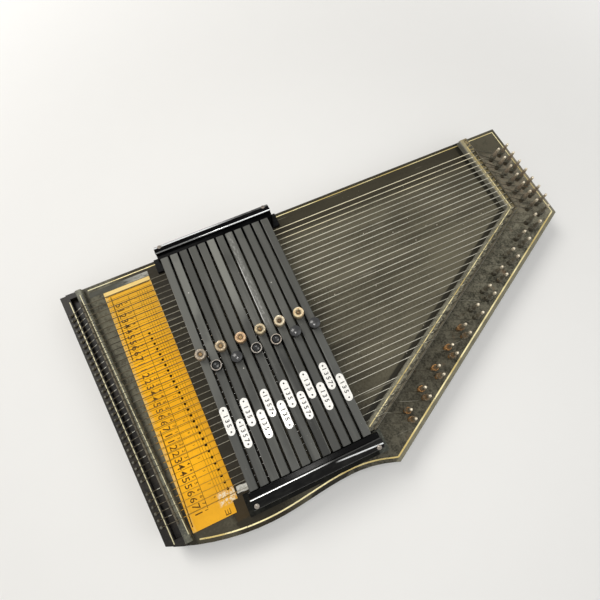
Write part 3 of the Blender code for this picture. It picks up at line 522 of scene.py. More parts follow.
def stringPaint():  # bright from the bars to the rails, dark with dirt elsewhere and near black under the bars as painted shade; painted highlights in three gaps between the bars and just past the gold line on the pin rails
    paint = Paint("dull string wire")
    x, y = paint.x, paint.y
    fine, cloud = paint.noise(800.0), paint.noise(30.0, stretch=(0.4, 1.0, 1.0))
    each = paint.noise(85.0, 2.0, stretch=(0.2, 1.0, 1.0), shift=(9.0, 0.0, 0.0))
    worn = (fine * 0.3 + cloud * 0.7).ramp(0.36, 0.58)
    bright = paint.blend((0.66, 0.64, 0.54), (0.8, 0.73, 0.52), y.ramp(0.095, 0.11))
    # painted highlights: strings near white in three gaps between the bars, lower half only
    gaps = sum(x.near(gap, 0.0026, 0.0034) for gap in (-0.1495, -0.1394, -0.0984))
    shown = paint.coats(
        paint.blend((0.12, 0.11, 0.08), (0.3, 0.285, 0.22), worn),
        (paint.blend((0.38, 0.37, 0.3), bright, worn), x.ramp(-0.042, -0.026)),
        # near black under the bars: painted shade
        ((0.04, 0.034, 0.022), x.ramp(-0.158, -0.157) * x.ramp(-0.0385, -0.0395)),
        ((0.96, 0.95, 0.9), gaps * y.ramp(0.056, 0.05) * each.ramp(0.38, 0.46)))
    across, fromTail, outside = paint.acrossCard(), paint.fromTail(), paint.beyondRails()
    riser = fromTail.ramp(0.0148, 0.016) * fromTail.ramp(0.0194, 0.0186)
    colour = paint.coats(
        (0.026, 0.02, 0.01), ((0.09, 0.072, 0.042), worn),
        ((0.5, 0.265, 0.022), across.ramp(-0.001, 0.001) * y.ramp(0.05, -0.07) * 0.9),
        (shown, across.ramp(0.0495, 0.052)),
        ((0.46, 0.45, 0.39), riser * each.ramp(0.4, 0.56)),
        ((0.2, 0.188, 0.138), outside.ramp(-0.0118, -0.01) * 0.8),
        ((0.06, 0.052, 0.034), outside.ramp(-0.007, -0.0062) * (1.0 - each.ramp(0.56, 0.62) * 0.8)),
        # painted highlights on the strings just past the gold line on the pin rails
        ((0.58, 0.53, 0.39), outside.near(-0.0055, 0.0005, 0.0009) * each.ramp(0.4, 0.48) * 0.9))
    ribs = abs((x * 1600.0).part() - 0.5) * y.ramp(0.04, 0.05)
    return paint.done(colour, 0.42 + fine * 0.15, (ribs, 0.5, 0.0003), metallic=0.3, gloss=0.4)


def pinPaint():  # nickel tips over shafts that have turned brown, with rusty feet at the low end
    paint = Paint("nickel tuning pin")
    above = paint.z - boardTop
    fine, cloud = paint.noise(500.0, 4.0, 0.6), paint.noise(70.0, 2.0)
    tip = (above + fine * 0.003).ramp(0.019, 0.0212)
    worn = (fine * 0.5 + cloud * 0.5).ramp(0.4, 0.6)
    foot = paint.blend((0.075, 0.063, 0.042), (0.36, 0.185, 0.06), paint.x.ramp(0.112, 0.086) * 0.9)
    colour = paint.coats(
        (0.085, 0.075, 0.052), ((0.185, 0.165, 0.12), worn),
        (paint.blend((0.2, 0.15, 0.1), (0.38, 0.31, 0.225), worn), paint.y.ramp(0.02, 0.05)),
        (foot, above.ramp(0.017, 0.005) * 0.85),
        (paint.blend((0.52, 0.44, 0.31), (0.8, 0.72, 0.56), fine.ramp(0.4, 0.6)), tip))
    return paint.done(colour, 0.48 - tip * 0.18 + fine * 0.1, metallic=0.25 + tip * 0.2)


def coilPaint():  # dark wire, orange with rust at the low end of the slanted row
    paint = Paint("rusty coil wire")
    cloud, fine = paint.noise(38.0, shift=(0.0, 2.0, 0.0)), paint.noise(600.0)
    lowEnd = paint.x.ramp(0.112, 0.086) * (1.0 - paint.beyondRails().ramp(0.0198, 0.0206) * 0.8)
    colour = paint.blend(paint.blend((0.06, 0.054, 0.037), (0.15, 0.138, 0.098), fine.ramp(0.4, 0.6)),
                         paint.blend((0.22, 0.11, 0.036), (0.46, 0.24, 0.08), fine.ramp(0.4, 0.6)),
                         (cloud.ramp(0.6, 0.66) * 0.35).most(lowEnd * cloud.ramp(0.36, 0.46)))
    return paint.done(colour, 0.5 + fine * 0.2, metallic=0.3)


chartLook = {
    "left": -0.22823, "high": 0.1315, "low": -0.1222, "lean": tan(radians(1.86)), "width": 0.0503,
    "top": boardTop + 0.0007, "ink": 0.00006,
    # upright lines and marks: from, to, width
    "marks": [((-0.2223, 0.1245), (-0.2214, 0.0502), 0.0009), ((-0.2185, -0.0258), (-0.2186, -0.1172), 0.001),
              ((-0.2052, 0.119), (-0.2006, -0.108), 0.00045), ((-0.1874, -0.1206), (-0.1822, -0.1206), 0.0008),
              ((-0.187, -0.1206), (-0.187, -0.116), 0.0006), ((-0.1848, -0.1206), (-0.1848, -0.1166), 0.0005),
              ((-0.1826, -0.1206), (-0.1826, -0.116), 0.0006)],
}


def chartX(along, y):  # a place across the card, leaning as its left edge does
    return chartLook["left"] + along + (chartLook["high"] - y) * chartLook["lean"]


def chartPaint():
    paint = Paint("amber printed card")
    y = paint.y
    fibre, cloud = paint.noise(500.0, 4.0, 0.6, (1.0, 0.5, 1.0)), paint.noise(22.0)
    flake, stain = paint.noise(330.0, 5.0, 0.75), paint.noise(85.0, shift=(7.0, 0.0, 0.0))
    across = paint.acrossCard() / chartLook["width"]
    edge = across.ramp(0.09, 0.03).most(across.ramp(0.965, 0.995))
    scuff = paint.fromBox((-0.1805, -0.1062), (0.01, 0.0072)).ramp(1.05, 0.55)
    colour = paint.coats(
        (0.86, 0.42, 0.012), ((0.99, 0.49, 0.014), (cloud * 0.6 + fibre * 0.4).ramp(0.38, 0.62)),
        ((0.66, 0.33, 0.03), y.ramp(-0.075, -0.105) * 0.5),
        ((0.7, 0.345, 0.022), across.ramp(0.72, 1.0) * 0.7),
        ((0.76, 0.44, 0.06), y.ramp(0.03, 0.125) * (0.2 + fibre * 0.55)),
        ((0.86, 0.66, 0.27), y.ramp(0.125, 0.1275) * 0.85),
        ((0.72, 0.49, 0.17), edge * fibre.ramp(0.34, 0.6) * 0.75),
        ((0.86, 0.8, 0.62), scuff * flake.ramp(0.44, 0.56) * 0.9),
        ((0.38, 0.19, 0.02), stain.ramp(0.62, 0.78) * 0.45))
    return paint.done(colour, 0.6 + fibre * 0.2, (fibre, 0.25, 0.0003), gloss=0.12)


barLooks = {  # how light the paint of each bar is above and below its fade line
    "upper": [0.109, 0.152, 0.058, 0.074, 0.086, 0.186, 0.08, 0.104, 0.096, 0.078, 0.075, 0.069],
    "lower": [0.064, 0.062, 0.056, 0.072, 0.08, 0.066, 0.052, 0.03, 0.054, 0.062, 0.066, 0.08],
    "fadeY": {0: -0.02, 1: 0.01, 5: 0.045}, "scratched": 7,
    "specks": {1: (-0.143, 0.083), 3: (-0.1215, -0.0084), 9: (-0.064, 0.06)},
}


def barPaint(index):
    paint = Paint("matte bar paint %d" % (index + 1))
    across, y = paint.x - barX(index), paint.y
    fine = paint.noise(900.0)
    grain = paint.noise(260.0, 4.0, stretch=(1.0, 0.05, 1.0), shift=(0.0, 0.0, index * 0.37))
    cloud = paint.noise(28.0, stretch=(1.0, 0.5, 1.0), shift=(index * 0.71, 0.0, 0.0))
    upper, lower, fade = barLooks["upper"][index], barLooks["lower"][index], barLooks["fadeY"].get(index, 0.0)
    edge = abs(across).ramp(bars["width"] / 2 - 0.0009, bars["width"] / 2 - 0.0003)
    coats = [((upper, upper * 1.01, upper * 0.91), y.ramp(fade - 0.025, fade + 0.025)),
             ((0.19, 0.192, 0.175), (grain * 0.45 + cloud * 0.55).ramp(0.5, 0.7) * 0.28),
             ((0.03, 0.031, 0.028), cloud.ramp(0.42, 0.3) * 0.5),
             ((0.2, 0.2, 0.185), edge * grain.ramp(0.45, 0.6) * 0.7)]
    if index == barLooks["scratched"]:  # a long rubbed streak with a bright line beside it
        rub = paint.noise(520.0, 4.0, 0.75, (1.0, 0.35, 1.0)).ramp(0.46, 0.62) * 0.75 + 0.1
        line = across.near(-0.0033, 0.0002, 0.0005) * y.ramp(0.022, 0.03) * y.ramp(0.1, 0.085)
        coats += [((0.27, 0.27, 0.255), across.near(-0.0008, 0.0012, 0.0034) * y.ramp(0.01, 0.03) * rub),
                  ((0.62, 0.62, 0.6), line * 0.85)]
    coats.append(((0.45, 0.44, 0.4), paint.specks(240.0, 0.07, 0.035) * cloud.ramp(0.5, 0.6) * 0.6))
    if index in barLooks["specks"]:
        x, away = barLooks["specks"][index][0], abs(y - barLooks["specks"][index][1])
        coats.append(((0.62, 0.6, 0.55), (abs(paint.x - x) + away + grain * 0.0006).ramp(0.0012, 0.0007)))
    # the sides below the top are painted near black: painted shade between the bars
    coats.append(((0.01, 0.01, 0.009), paint.z.ramp(bars["top"] - 0.0005, bars["top"] - 0.0012) * 0.92))
    colour = paint.coats((lower, lower * 1.02, lower * 0.94), *coats)
    return paint.done(colour, 0.52 + fine * 0.12, (fine * 0.4 + grain * 0.6, 0.15, 0.0004), gloss=0.2)


def glossPaint(side, gloss):  # a black holder cover, with painted highlights along its top edges: pale metallic lines that mirror the bright world
    paint = Paint("glossy black %s cover" % side)
    x, z = paint.x, paint.z
    fine, cloud = paint.noise(380.0, 4.0, 0.6, (0.3, 1.0, 1.0)), paint.noise(45.0)
    depth = (paint.y - bars["bassFace"]).most(bars["trebleFace"] - paint.y)
    grain = (fine * 0.5 + cloud * 0.5).ramp(0.42, 0.64)
    # painted highlights along the inner and outer top edges, each fading along the cover where its highlight fades
    inner = depth.near(0.0059, 0.0003, 0.0007) * z.ramp(0.0684, 0.069)
    if side == "bass":
        colour = paint.blend((0.001, 0.001, 0.0011), (0.004, 0.0042, 0.0045), grain)
        inner = inner * (0.25 + x.ramp(-0.13, -0.07) * 0.75)
        outer = depth.near(0.0128, 0.0007, 0.0012) * z.ramp(0.064, 0.065)
        outer = outer * (1.0 - x.ramp(-0.105, -0.07) * (0.45 + cloud * 0.8))
    else:
        colour = paint.blend((0.005, 0.005, 0.005), (0.014, 0.014, 0.013), grain)
        colour = paint.blend((0.001, 0.001, 0.001), colour, z.ramp(0.065, 0.066))
        inner = inner * (1.0 - x.ramp(-0.1, -0.078) * 0.95)
        # on the treble cover the outer line runs across its sloping top near the pin end: a painted reflection
        outer = (depth - x * 0.062).near(0.0131, 0.0003, 0.0008) * x.ramp(-0.08, -0.072) * (0.4 + fine * 0.8)
    paintedHighlight = inner.most(outer) * (0.7 + cloud * 0.5)
    colour = paint.coats(colour, ((0.2, 0.2, 0.19), paint.specks(330.0, 0.06, 0.03) * cloud.ramp(0.5, 0.6)),
                         ((0.85, 0.86, 0.85), paintedHighlight))
    return paint.done(colour, 0.17 + fine * 0.12, (fine * 0.4 + cloud * 0.6, 0.08, 0.0006), metallic=paintedHighlight * 0.8,
                      gloss=gloss)


def basePaint():  # greyer at the treble holder, most of all at its pin end
    paint = Paint("holder base paint")
    fine, cloud = paint.noise(420.0, 4.0, 0.6), paint.noise(60.0)
    dust = (cloud * 0.5 + fine * 0.5).ramp(0.42, 0.62)
    colour = paint.coats(
        (0.004, 0.004, 0.003), ((0.014, 0.014, 0.011), dust),
        (paint.blend((0.055, 0.058, 0.048), (0.15, 0.152, 0.128), dust), paint.x.ramp(-0.036, -0.034)),
        (paint.blend((0.003, 0.003, 0.003), (0.011, 0.012, 0.013), dust), paint.y.ramp(-0.02, 0.02)))
    return paint.done(colour, 0.36 + fine * 0.16, (fine, 0.15, 0.0005), gloss=0.05)


def woodPaint():
    paint = Paint("planed spruce")
    ring, fine = paint.noise(90.0, 4.0, stretch=(1.0, 0.06, 1.0)), paint.noise(700.0, stretch=(1.0, 0.1, 1.0))
    colour = paint.blend((0.3, 0.18, 0.085), (0.52, 0.35, 0.19), (ring * 0.7 + fine * 0.3).ramp(0.4, 0.6))
    return paint.done(colour, 0.65 + fine * 0.1, (ring, 0.15, 0.0004))


def patchPaint():  # dark at its tail end, silvery at the other
    paint = Paint("greyed lacquer patch")
    fine = paint.noise(240.0, 4.0, 0.6, (0.35, 1.0, 1.0))
    silver = paint.x.ramp(-0.218, -0.184) * 0.85 + 0.06
    colour = paint.blend((0.036, 0.036, 0.024), (0.38, 0.38, 0.34), silver * fine.ramp(0.3, 0.6))
    return paint.done(colour, 0.36 + fine * 0.15, (fine, 0.2, 0.0004), gloss=0.15)


def plainPaint(name, first, second, grain, roughness, cloud=None, span=(0.38, 0.62), bump=(0.15, 0.0004), **more):
    paint = Paint(name)  # grain: scale, detail, roughness of the fine noise; cloud: scale and share of a coarse one
    fine = paint.noise(*grain)
    mixed = fine * (1.0 - cloud[1]) + paint.noise(cloud[0]) * cloud[1] if cloud else fine
    return paint.done(paint.blend(first, second, mixed.ramp(*span)), roughness[0] + fine * roughness[1],
                      (fine, *bump), **more)


def wirePaint(name, dull, bright, roughness, metallic=0.85, scale=900.0):
    return plainPaint(name, dull, bright, (scale,), (roughness, 0.15), (35.0, 0.6), (0.36, 0.6), (0.12, 0.0002),
                      metallic=metallic)


finishes = {
    "board": soundboardPaint(),
    "body": agedPaint("aged black side lacquer", (0.016, 0.014, 0.01), (0.055, 0.05, 0.036), (0.22, 0.2, 0.15),
                      (18.0, 260.0), (0.4, 1.0, 1.0), 0.3, 0.35, coat=0.15),
    "back": agedPaint("plain black stain", (0.014, 0.012, 0.01), (0.048, 0.04, 0.03), (0.16, 0.14, 0.11),
                      (12.0, 200.0), (0.08, 1.0, 1.0), 0.48, 0.25, bump=0.25),
    "plank": agedPaint("dark stained maple", (0.018, 0.015, 0.01), (0.06, 0.05, 0.034), (0.2, 0.18, 0.13),
                       (20.0, 260.0), (0.3, 1.0, 1.4), 0.32, 0.3, coat=0.1),
    "tail": agedPaint("black tail block lacquer", (0.007, 0.006, 0.005), (0.022, 0.018, 0.013), (0.2, 0.18, 0.13),
                      (20.0, 300.0), (1.0, 1.0, 1.0), 0.32, 0.3, gloss=0.2),
    "rail": railPaint(),
    "tailRail": plainPaint("worn tail rail lacquer", (0.04, 0.04, 0.028), (0.15, 0.148, 0.104), (340.0, 4.0, 0.6),
                           (0.36, 0.2), (50.0, 0.5), (0.4, 0.6), (0.2, 0.0004), gloss=0.4),
    "gold": goldPaint(), "string": stringPaint(), "pin": pinPaint(), "coil": coilPaint(),
    "rod": wirePaint("darkened rod steel", (0.04, 0.033, 0.02), (0.115, 0.098, 0.062), 0.5, 0.25),
    "hitch": wirePaint("hitch pin steel", (0.02, 0.018, 0.013), (0.13, 0.125, 0.1), 0.5, 0.25, 1200.0),
    "spring": wirePaint("spring steel", (0.3, 0.27, 0.22), (0.6, 0.58, 0.52), 0.3),
    "screw": wirePaint("nickel screw", (0.1, 0.085, 0.07), (0.34, 0.3, 0.26), 0.32, 0.5, 1500.0),
    "brass": wirePaint("dull brass screw", (0.06, 0.034, 0.012), (0.26, 0.165, 0.07), 0.34, 0.5, 1500.0),
    "chart": chartPaint(), "bassGloss": glossPaint("bass", 0.02), "trebleGloss": glossPaint("treble", 0.08),
    "base": basePaint(), "wood": woodPaint(), "patch": patchPaint(),
    "felt": plainPaint("wool felt", (0.05, 0.075, 0.05), (0.12, 0.155, 0.11), (1400.0, 4.0, 0.7), (0.95, 0.0),
                       (60.0, 0.4), bump=(0.6, 0.0006), sheen=0.4, sheenRoughness=0.5),
    "ink": plainPaint("brown black ink", (0.085, 0.04, 0.006), (0.3, 0.145, 0.012), (650.0,), (0.6, 0.0),
                      span=(0.48, 0.72), bump=(0.0, 0.0004), gloss=0.1),
    **{key: plainPaint(name, first, second, (scale, 4.0, 0.6), (roughness, 0.12), **more)
       for key, name, first, second, scale, roughness, more in (
        ("rubber", "black rubber", (0.014, 0.014, 0.014), (0.035, 0.035, 0.034), 900.0, 0.75, {}),
        ("enamel", "white enamel plate", (0.72, 0.71, 0.67), (0.86, 0.85, 0.81), 500.0, 0.24, {"coat": 0.3}),
        ("black", "black print", (0.01, 0.01, 0.01), (0.04, 0.038, 0.035), 900.0, 0.4, {}),
        ("dot", "dull black ink", (0.008, 0.005, 0.002), (0.028, 0.016, 0.005), 900.0, 0.65, {"gloss": 0.05}),
        ("paper", "old paper", (0.46, 0.45, 0.4), (0.7, 0.69, 0.63), 420.0, 0.75, {"bump": (0.4, 0.0004)}),
        ("flake", "pale dust flake", (0.46, 0.42, 0.33), (0.72, 0.68, 0.56), 800.0, 0.85, {}))},
}
nodeFinishes = {
    "board": ["soundboard"], "back": ["back_board"], "body": ["bass_rim", "treble_rim"], "tail": ["tail_block"],
    "plank": ["pin_block_short", "pin_block_long"], "wood": ["brace_1", "brace_2"], "tailRail": ["tail_rail"],
    "rail": ["pin_rail_short", "pin_rail_long"], "rod": ["tail_rod"], "chart": ["tuning_chart"],
    "base": ["bass_holder_comb", "treble_holder_comb"], "bassGloss": ["bass_holder_cover"],
    "trebleGloss": ["treble_holder_cover"], "rubber": ["foot_%d" % number for number in range(1, 5)],
    "felt": ["damper_felt_%02d" % (index + 1) for index in range(bars["count"])],
}
for index in range(bars["count"]):
    finishes["bar%d" % index] = barPaint(index)
    nodeFinishes["bar%d" % index] = ["chord_bar_%02d" % (index + 1)]
for finish, nodes in nodeFinishes.items():
    for node in nodes:
        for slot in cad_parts[node].material_slots:
            slot.material = finishes[finish]
print("finishes:", len(finishes))

# pinstripes

stripeLook = {"width": 0.0009, "wide": 0.0015, "curved": 0.001305, "onTail": 0.00072, "raise": 0.00008,
              "inset": 0.00435, "ridgeInset": 0.0082, "railInset": 0.0068, "fromRail": 0.0105, "steps": 36,
              "ridgeEnds": (0.1368, -0.1236), "tailLine": [(-0.249, 0.1366), (-0.222, -0.1205)],
              "railEnds": (0.1314, -0.1048)}


def makeStripes():
    look = stripeLook
    inset, width, high, low = look["inset"], look["width"], *look["railEnds"]
    corner = meeting(lambda y: shortX(y, inset), lambda x: longY(x, inset))
    endX = trebleCornerX - 0.0002
    end = (endX, max(curveY(endX) + inset, longY(endX, inset)))
    startX = tailX(-0.125, plan["railStart"] + 0.011)
    curve = [startX + (endX - startX) * step / look["steps"] for step in range(look["steps"])]
    bassEdge = [(x, bassY - inset) for x in (tailX(bassY - inset, plan["railStart"] + look["fromRail"]),
                                             shortX(bassY - inset, inset))]
    onRail = [(shortX(high, plan["shortRailInset"] + look["railInset"]), high), railCorner(look["railInset"]),
              (longRailX(low, look["railInset"]), low)]
    shape = bmesh.new()
    for points, wide, z in ((bassEdge + [corner], width, boardTop), ([corner, end], look["wide"], boardTop),
                            ([(x, curveY(x) + inset) for x in curve] + [end], look["curved"], boardTop),
                            ([(tailX(y, look["ridgeInset"]), y) for y in look["ridgeEnds"]], width, boardTop),
                            (look["tailLine"], look["onTail"], railTop), (onRail, width, railTop)):
        addRibbon(shape, points, wide, z - look["raise"], z + look["raise"])
    place("pinstripes", shapeMesh("pinstripes", shape), "zither_body", "black_lacquer", "gold")


makeStripes()
print("pinstripes done")

# strings, coils, tuning pins, hitch pins

wireTree = Growth("wires along lines", sides="Int")
wirePath = wireTree.add("MeshToCurve", {"Mesh": wireTree.given["Geometry"]})
thick = wireTree.add("InputNamedAttribute", {"Name": "thick"}, data_type="FLOAT")
wireTree.end(wireTree.tube(wirePath, wireTree.given["sides"], 1.0, Scale=thick))

coilTree = Growth("wire wound on pins", turns="Float", radius="Float", height="Float", wire="Float", seed="Int")
given = coilTree.given
coil = coilTree.add("CurveSpiral", {"Resolution": 14, "Rotations": given["turns"], "Height": given["height"],
                                    "Start Radius": given["radius"], "End Radius": given["radius"]})
coilTree.end(coilTree.onPoints(given["Geometry"], coilTree.tube(coil, 6, given["wire"]), (0.0, 0.0, 2 * pi)))

copyTree = Growth("copies on points", pattern="Object", turn="Float", seed="Int")
pattern = copyTree.add("ObjectInfo", {"Object": copyTree.given["pattern"]}, "Geometry")
turn = copyTree.add("ShaderNodeCombineXYZ", {"Z": copyTree.given["turn"]})
copyTree.end(copyTree.onPoints(copyTree.given["Geometry"], pattern, turn), smooth=False)


def copies(name, mesh, points, body, slot, finish, turn=0.0, seed=1, smooth=35):
    pattern = bpy.data.objects.new(name + "Pattern", mesh)
    piece = grow(name, copyTree, pointMesh(name, points), body, slot, finish, pattern=pattern, turn=turn, seed=seed)
    bpy.data.objects.remove(pattern)
    smoothBy(piece.data, smooth)


def tangent(start, centre, radius):  # where a wire from start touches a coil
    away = Vector(start) - Vector(centre)
    swing = acos(min(1.0, radius / away.length))
    return Vector(centre) + Matrix.Rotation(swing, 2) @ away.normalized() * radius


def makeStrings():
    centres = pinPlaces()
    paths, sizes, hitches, loops = [], [], [], []
    ledge = boardTop - plan["ledgeDepth"]
    low, loop = ledge + strings["loopLift"], strings["loopRadius"]
    entry = boardTop + pins["coilBottom"] + 0.0016
    for index in range(strings["count"]):
        radius, y = stringRadius(index), stringY(index)
        onRod = saddleX(y)
        touch = tangent((onRod, y), centres[index], pins["coilRadius"] + 0.0002)
        wrap = touch + (Vector(centres[index]) - touch).normalized().orthogonal().normalized() * 0.0004
        end = [(onRod, y, rodTop + radius), (*touch, entry), (*wrap, entry - 0.0004)]
        if index == strings["broken"]:
            start = [(onRod - back, y - aside, railTop + up) for back, aside, up in strings["stump"]]
            sizes += [radius] * (len(start) + len(end))
        else:  # twisted round itself just after its loop
            hitchX = tailX(y, strings["hitchInset"])
            rodX = tailX(y, plan["railStart"] + plan["rodSetback"] - plan["rodRadius"] / 2)
            over = rodTop + plan["rodLift"] + radius
            slope = (over - low) / (rodX - hitchX - loop)
            start = [(hitchX + loop + along, y, low + along * slope) for along in (0.0, 0.0022, 0.0026)]
            start.append((rodX, y, over))
            sizes += [radius * 1.7, radius * 1.6] + [radius] * (len(start) + len(end) - 2)
            hitches.append((hitchX, y, ledge))
            loops.append([(hitchX + loop * cos(a * pi / 6), y + loop * sin(a * pi / 6), low) for a in range(13)])
        paths.append(start + end)
    home = "zither_body", "string_steel"
    piece = grow("strings", wireTree, lines("strings", paths, sizes), *home, "string", sides=strings["sides"])
    grow("string_loops", wireTree, lines("loops", loops, [strings["loopWire"]] * sum(map(len, loops))), *home,
         "string", sides=5)
    copies("hitch_pins", turnedMesh("hitchPin", strings["nail"], 10), hitches, *home, "hitch")
    profile = [(pins["radius"] * share, *more) for share, *more in pins["profile"]]
    copies("tuning_pins", turnedMesh("tuningPin", profile, 16), [(x, y, boardTop) for x, y in centres], *home, "pin",
           pi / 2, 7, 40)
    points = [(x, y, boardTop + pins["coilBottom"] + 0.0006) for x, y in centres]
    grow("pin_coils", coilTree, pointMesh("coils", points), *home, "coil", turns=4.6, radius=pins["coilRadius"],
         height=0.0046, wire=0.00046, seed=3)
    corner = railCorner(plan["rodSetback"])[1]
    edge = strings["pitch"] / 2
    rods = [[(saddleX(y), y, rodTop - plan["rodRadius"]) for y in pair]
            for pair in ((stringY(0) + edge, corner + 0.001), (corner - 0.002, stringY(strings["count"] - 1) - edge))]
    grow("saddle_rods", wireTree, lines("rods", rods, [plan["rodRadius"]] * 4), *home, "rod", sides=12)
    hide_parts("bass_strings", "treble_strings")


makeStrings()
print("strings, pins and coils done")

# printing on the chart

lowNotes = [41, 43, 48, 50, 52]
notes = lowNotes + [53 + step for step in range(strings["count"] - len(lowNotes))]
degrees = {0: "1", 2: "2", 4: "3", 5: "4", 7: "5", 9: "6", 11: "7"}
printLook = {"ruled": (0.0008, 0.0488), "ruleWidth": 0.00034, "topRule": (0.0012, 0.048), "topY": 0.1256,
             "staff": 0.0325, "staffStep": 0.0026, "staffEnds": (0.119, -0.101), "dotRadius": 0.00135}


def makeChart():
    look = printLook
    low, high = chartLook["top"] - 0.00003, chartLook["top"] + chartLook["ink"]
    home = "zither_body", "chart_card"
    ribbons = [([(chartX(along, stringY(index)), stringY(index)) for along in look["ruled"]], look["ruleWidth"])
               for index in range(strings["count"])
               if chartLook["low"] + 0.004 < stringY(index) < chartLook["high"] - 0.003]
    ribbons.append(([(chartX(along, look["topY"]), look["topY"]) for along in look["topRule"]], 0.0006))
    ribbons += [((start, end), width) for start, end, width in chartLook["marks"]]
    ribbons += [([(chartX(look["staff"] + line * look["staffStep"], y), y) for y in look["staffEnds"]], 0.00026)
                for line in range(5)]
    shape = bmesh.new()
    for points, width in ribbons:
        addRibbon(shape, points, width, low, high)
    place("chart_lines", shapeMesh("chartLines", shape), *home, "ink")
    shape = bmesh.new()
    number = "6"
    for index, note in enumerate(notes):
        y = stringY(index)
        if chartLook["low"] + 0.008 < y < chartLook["high"] - 0.01:
            number = degrees.get(note % 12, number)
            size = 0.0102 if note % 12 in degrees else 0.0094
            texts = [(number, size, 0.0104, strings["pitch"] / 2, 0.00008),
                     (number, 0.0044, 0.0182, strings["pitch"] / 2, 0.00006)]
            if index % 2:
                texts.append((str(index % 9 + 1), 0.0034, 0.0288, 0.0024, 0.0))
            for text, size, along, down, bold in texts:
                addText(shape, text, size, chartX(along, y), y - down, (low + high) / 2, high - low, bold)
    place("chart_numbers", shapeMesh("chartNumbers", shape), *home, "ink")
    dot = turnedMesh("noteDot", [(look["dotRadius"], 0.0), (look["dotRadius"], high - low)], 12)
    dots = [(-0.1978 + (0.0744 - stringY(index)) * 0.1147, stringY(index) - 0.0006, low) for index in range(8, 36)]
    copies("chart_dots", dot, dots, *home, "dot")


makeChart()
print("chart printed")

# number plates on the bars

plateLook = {"length": 0.027, "width": 0.0076, "thick": 0.0005, "lift": 0.00005, "oddY": -0.047, "evenY": -0.0628,
             "pinOut": 0.0102, "pin": [(0.00085, -0.0004), (0.00085, 0.0001), (0.0006, 0.0003), (0.0002, 0.00038)],
             "texts": ["1 3 5", "1 3 5 7", "1 3 5"], "textSize": 0.0058}


def plateMesh(x, y):
    half, thick = plateLook["width"] / 2, plateLook["thick"]
    reach = plateLook["length"] / 2 - half
    outline = [(half * cos(radians(15 * step)), half * sin(radians(15 * step)) + shift)
               for first, shift in ((0, reach), (12, -reach)) for step in range(first, first + 13)]
    bottom = bars["top"] + plateLook["lift"]
    return ringMesh("numberPlate", [
        [(x + across * (1 - shrink / half), y + along * (1 - shrink / (reach + half)), bottom + up)
         for across, along in outline] for shrink, up in ((0.0, 0.0), (0.0, thick * 0.6), (0.0002, thick))])


def makePlates():
    top = bars["top"] + plateLook["lift"] + plateLook["thick"]
    rivet = turnedMesh("platePin", plateLook["pin"], 12)
    for index in range(bars["count"]):
        number = index + 1
        home = "bar_%02d" % number, "bar_paint"
        x, y = barX(index), plateLook["evenY" if index % 2 else "oddY"]
        place("number_plate_%02d" % number, plateMesh(x, y), *home, "enamel", 30)
        shape = bmesh.new()
        addText(shape, plateLook["texts"][index % 3], plateLook["textSize"], x, y, top, 0.00012, 0.00014)
        place("plate_number_%02d" % number, shapeMesh("plateNumber", shape), *home, "black")
        copies("plate_pins_%02d" % number, rivet.copy(), [(x, y + s * plateLook["pinOut"], top) for s in (-1, 1)],
               *home, "black")


makePlates()
print("number plates done")

# push buttons

buttonLook = {
    "base": 0.0675, "height": 0.0088, "radius": 0.0054, "cap": 0.0108,
    "pale": {"rimFrom": 0.0029, "roughness": 0.34, "coat": 0.25, "grain": 0.4, "gloss": 0.4},
    "cup": {"rimFrom": 0.0042, "roughness": 0.2, "coat": 0.3, "grain": 0.2, "gloss": 0.2},
    "dome": {"rimFrom": 0.006, "roughness": 0.26, "coat": 0.55, "grain": 0.05, "gloss": 0.35},
    "rings": [(0.37, 0.31, 0.235), (0.5, 0.45, 0.4), (0.5, 0.39, 0.245), None, (0.6, 0.4, 0.225),
              (0.56, 0.52, 0.46), (0.5, 0.41, 0.255), (0.55, 0.48, 0.4), (0.68, 0.57, 0.39), None,
              (0.76, 0.61, 0.37), None],
    # shares of the radius, and heights from the base for the foot, from the top for the others
    "foot": [(0.84, 0.0), (0.92, 0.0003), (0.97, 0.001), (1.0, 0.0018)],
    "shoulder": [(1.0, -0.0022), (0.985, -0.0013), (0.94, -0.0006)],
    "tops": {"cup": [(0.88, -0.0001), (0.8, 0.0), (0.73, -0.0004), (0.69, -0.0012), (0.55, -0.0019), (0.3, -0.0022),
                     (0.02, -0.0023)],
             "pale": [(0.86, 0.0), (0.72, -0.00012), (0.62, -0.0005), (0.56, -0.0009), (0.5, -0.001),
                      (0.47, -0.0022), (0.02, -0.0023)]},
    "domeShares": (0.98, 0.93, 0.86, 0.78, 0.68, 0.56, 0.42, 0.28, 0.14, 0.02),
}


def turnedPaint(kind, index, ring, core):  # a turned button, its rim lighter than its middle
    look = buttonLook[kind]
    paint = Paint("%s button %d" % (kind, index + 1))
    fine, cloud = paint.noise(900.0, 4.0, 0.6), paint.noise(160.0, shift=(index * 0.3, 0.0, 0.0))
    spot = paint.add("CombineXYZ", {0: paint.x, 1: paint.y})
    out = paint.add("VectorMath", {0: spot, 1: (*buttonPlace(index), 0.0)}, "Value", operation="DISTANCE")
    rim = out.ramp(look["rimFrom"], look["rimFrom"] + 0.0003) * out.ramp(0.0053, 0.005)
    colour = paint.blend(core, ring, rim * paint.z.ramp(0.0738, 0.0752) * (0.65 + cloud * 0.5).least(1.0))
    grain = paint.blend((0.0, 0.0, 0.0), (1.0, 1.0, 1.0), fine.ramp(0.38, 0.62))
    colour = paint.blend(colour, grain, look["grain"], "OVERLAY")
    return paint.done(colour, look["roughness"] + fine * 0.12, (fine, 0.15, 0.0003), coat=look["coat"],
                      coatRoughness=0.12, gloss=look["gloss"])


def buttonPlace(index):
    return barX(index), bars["darkY" if index % 2 else "paleY"]


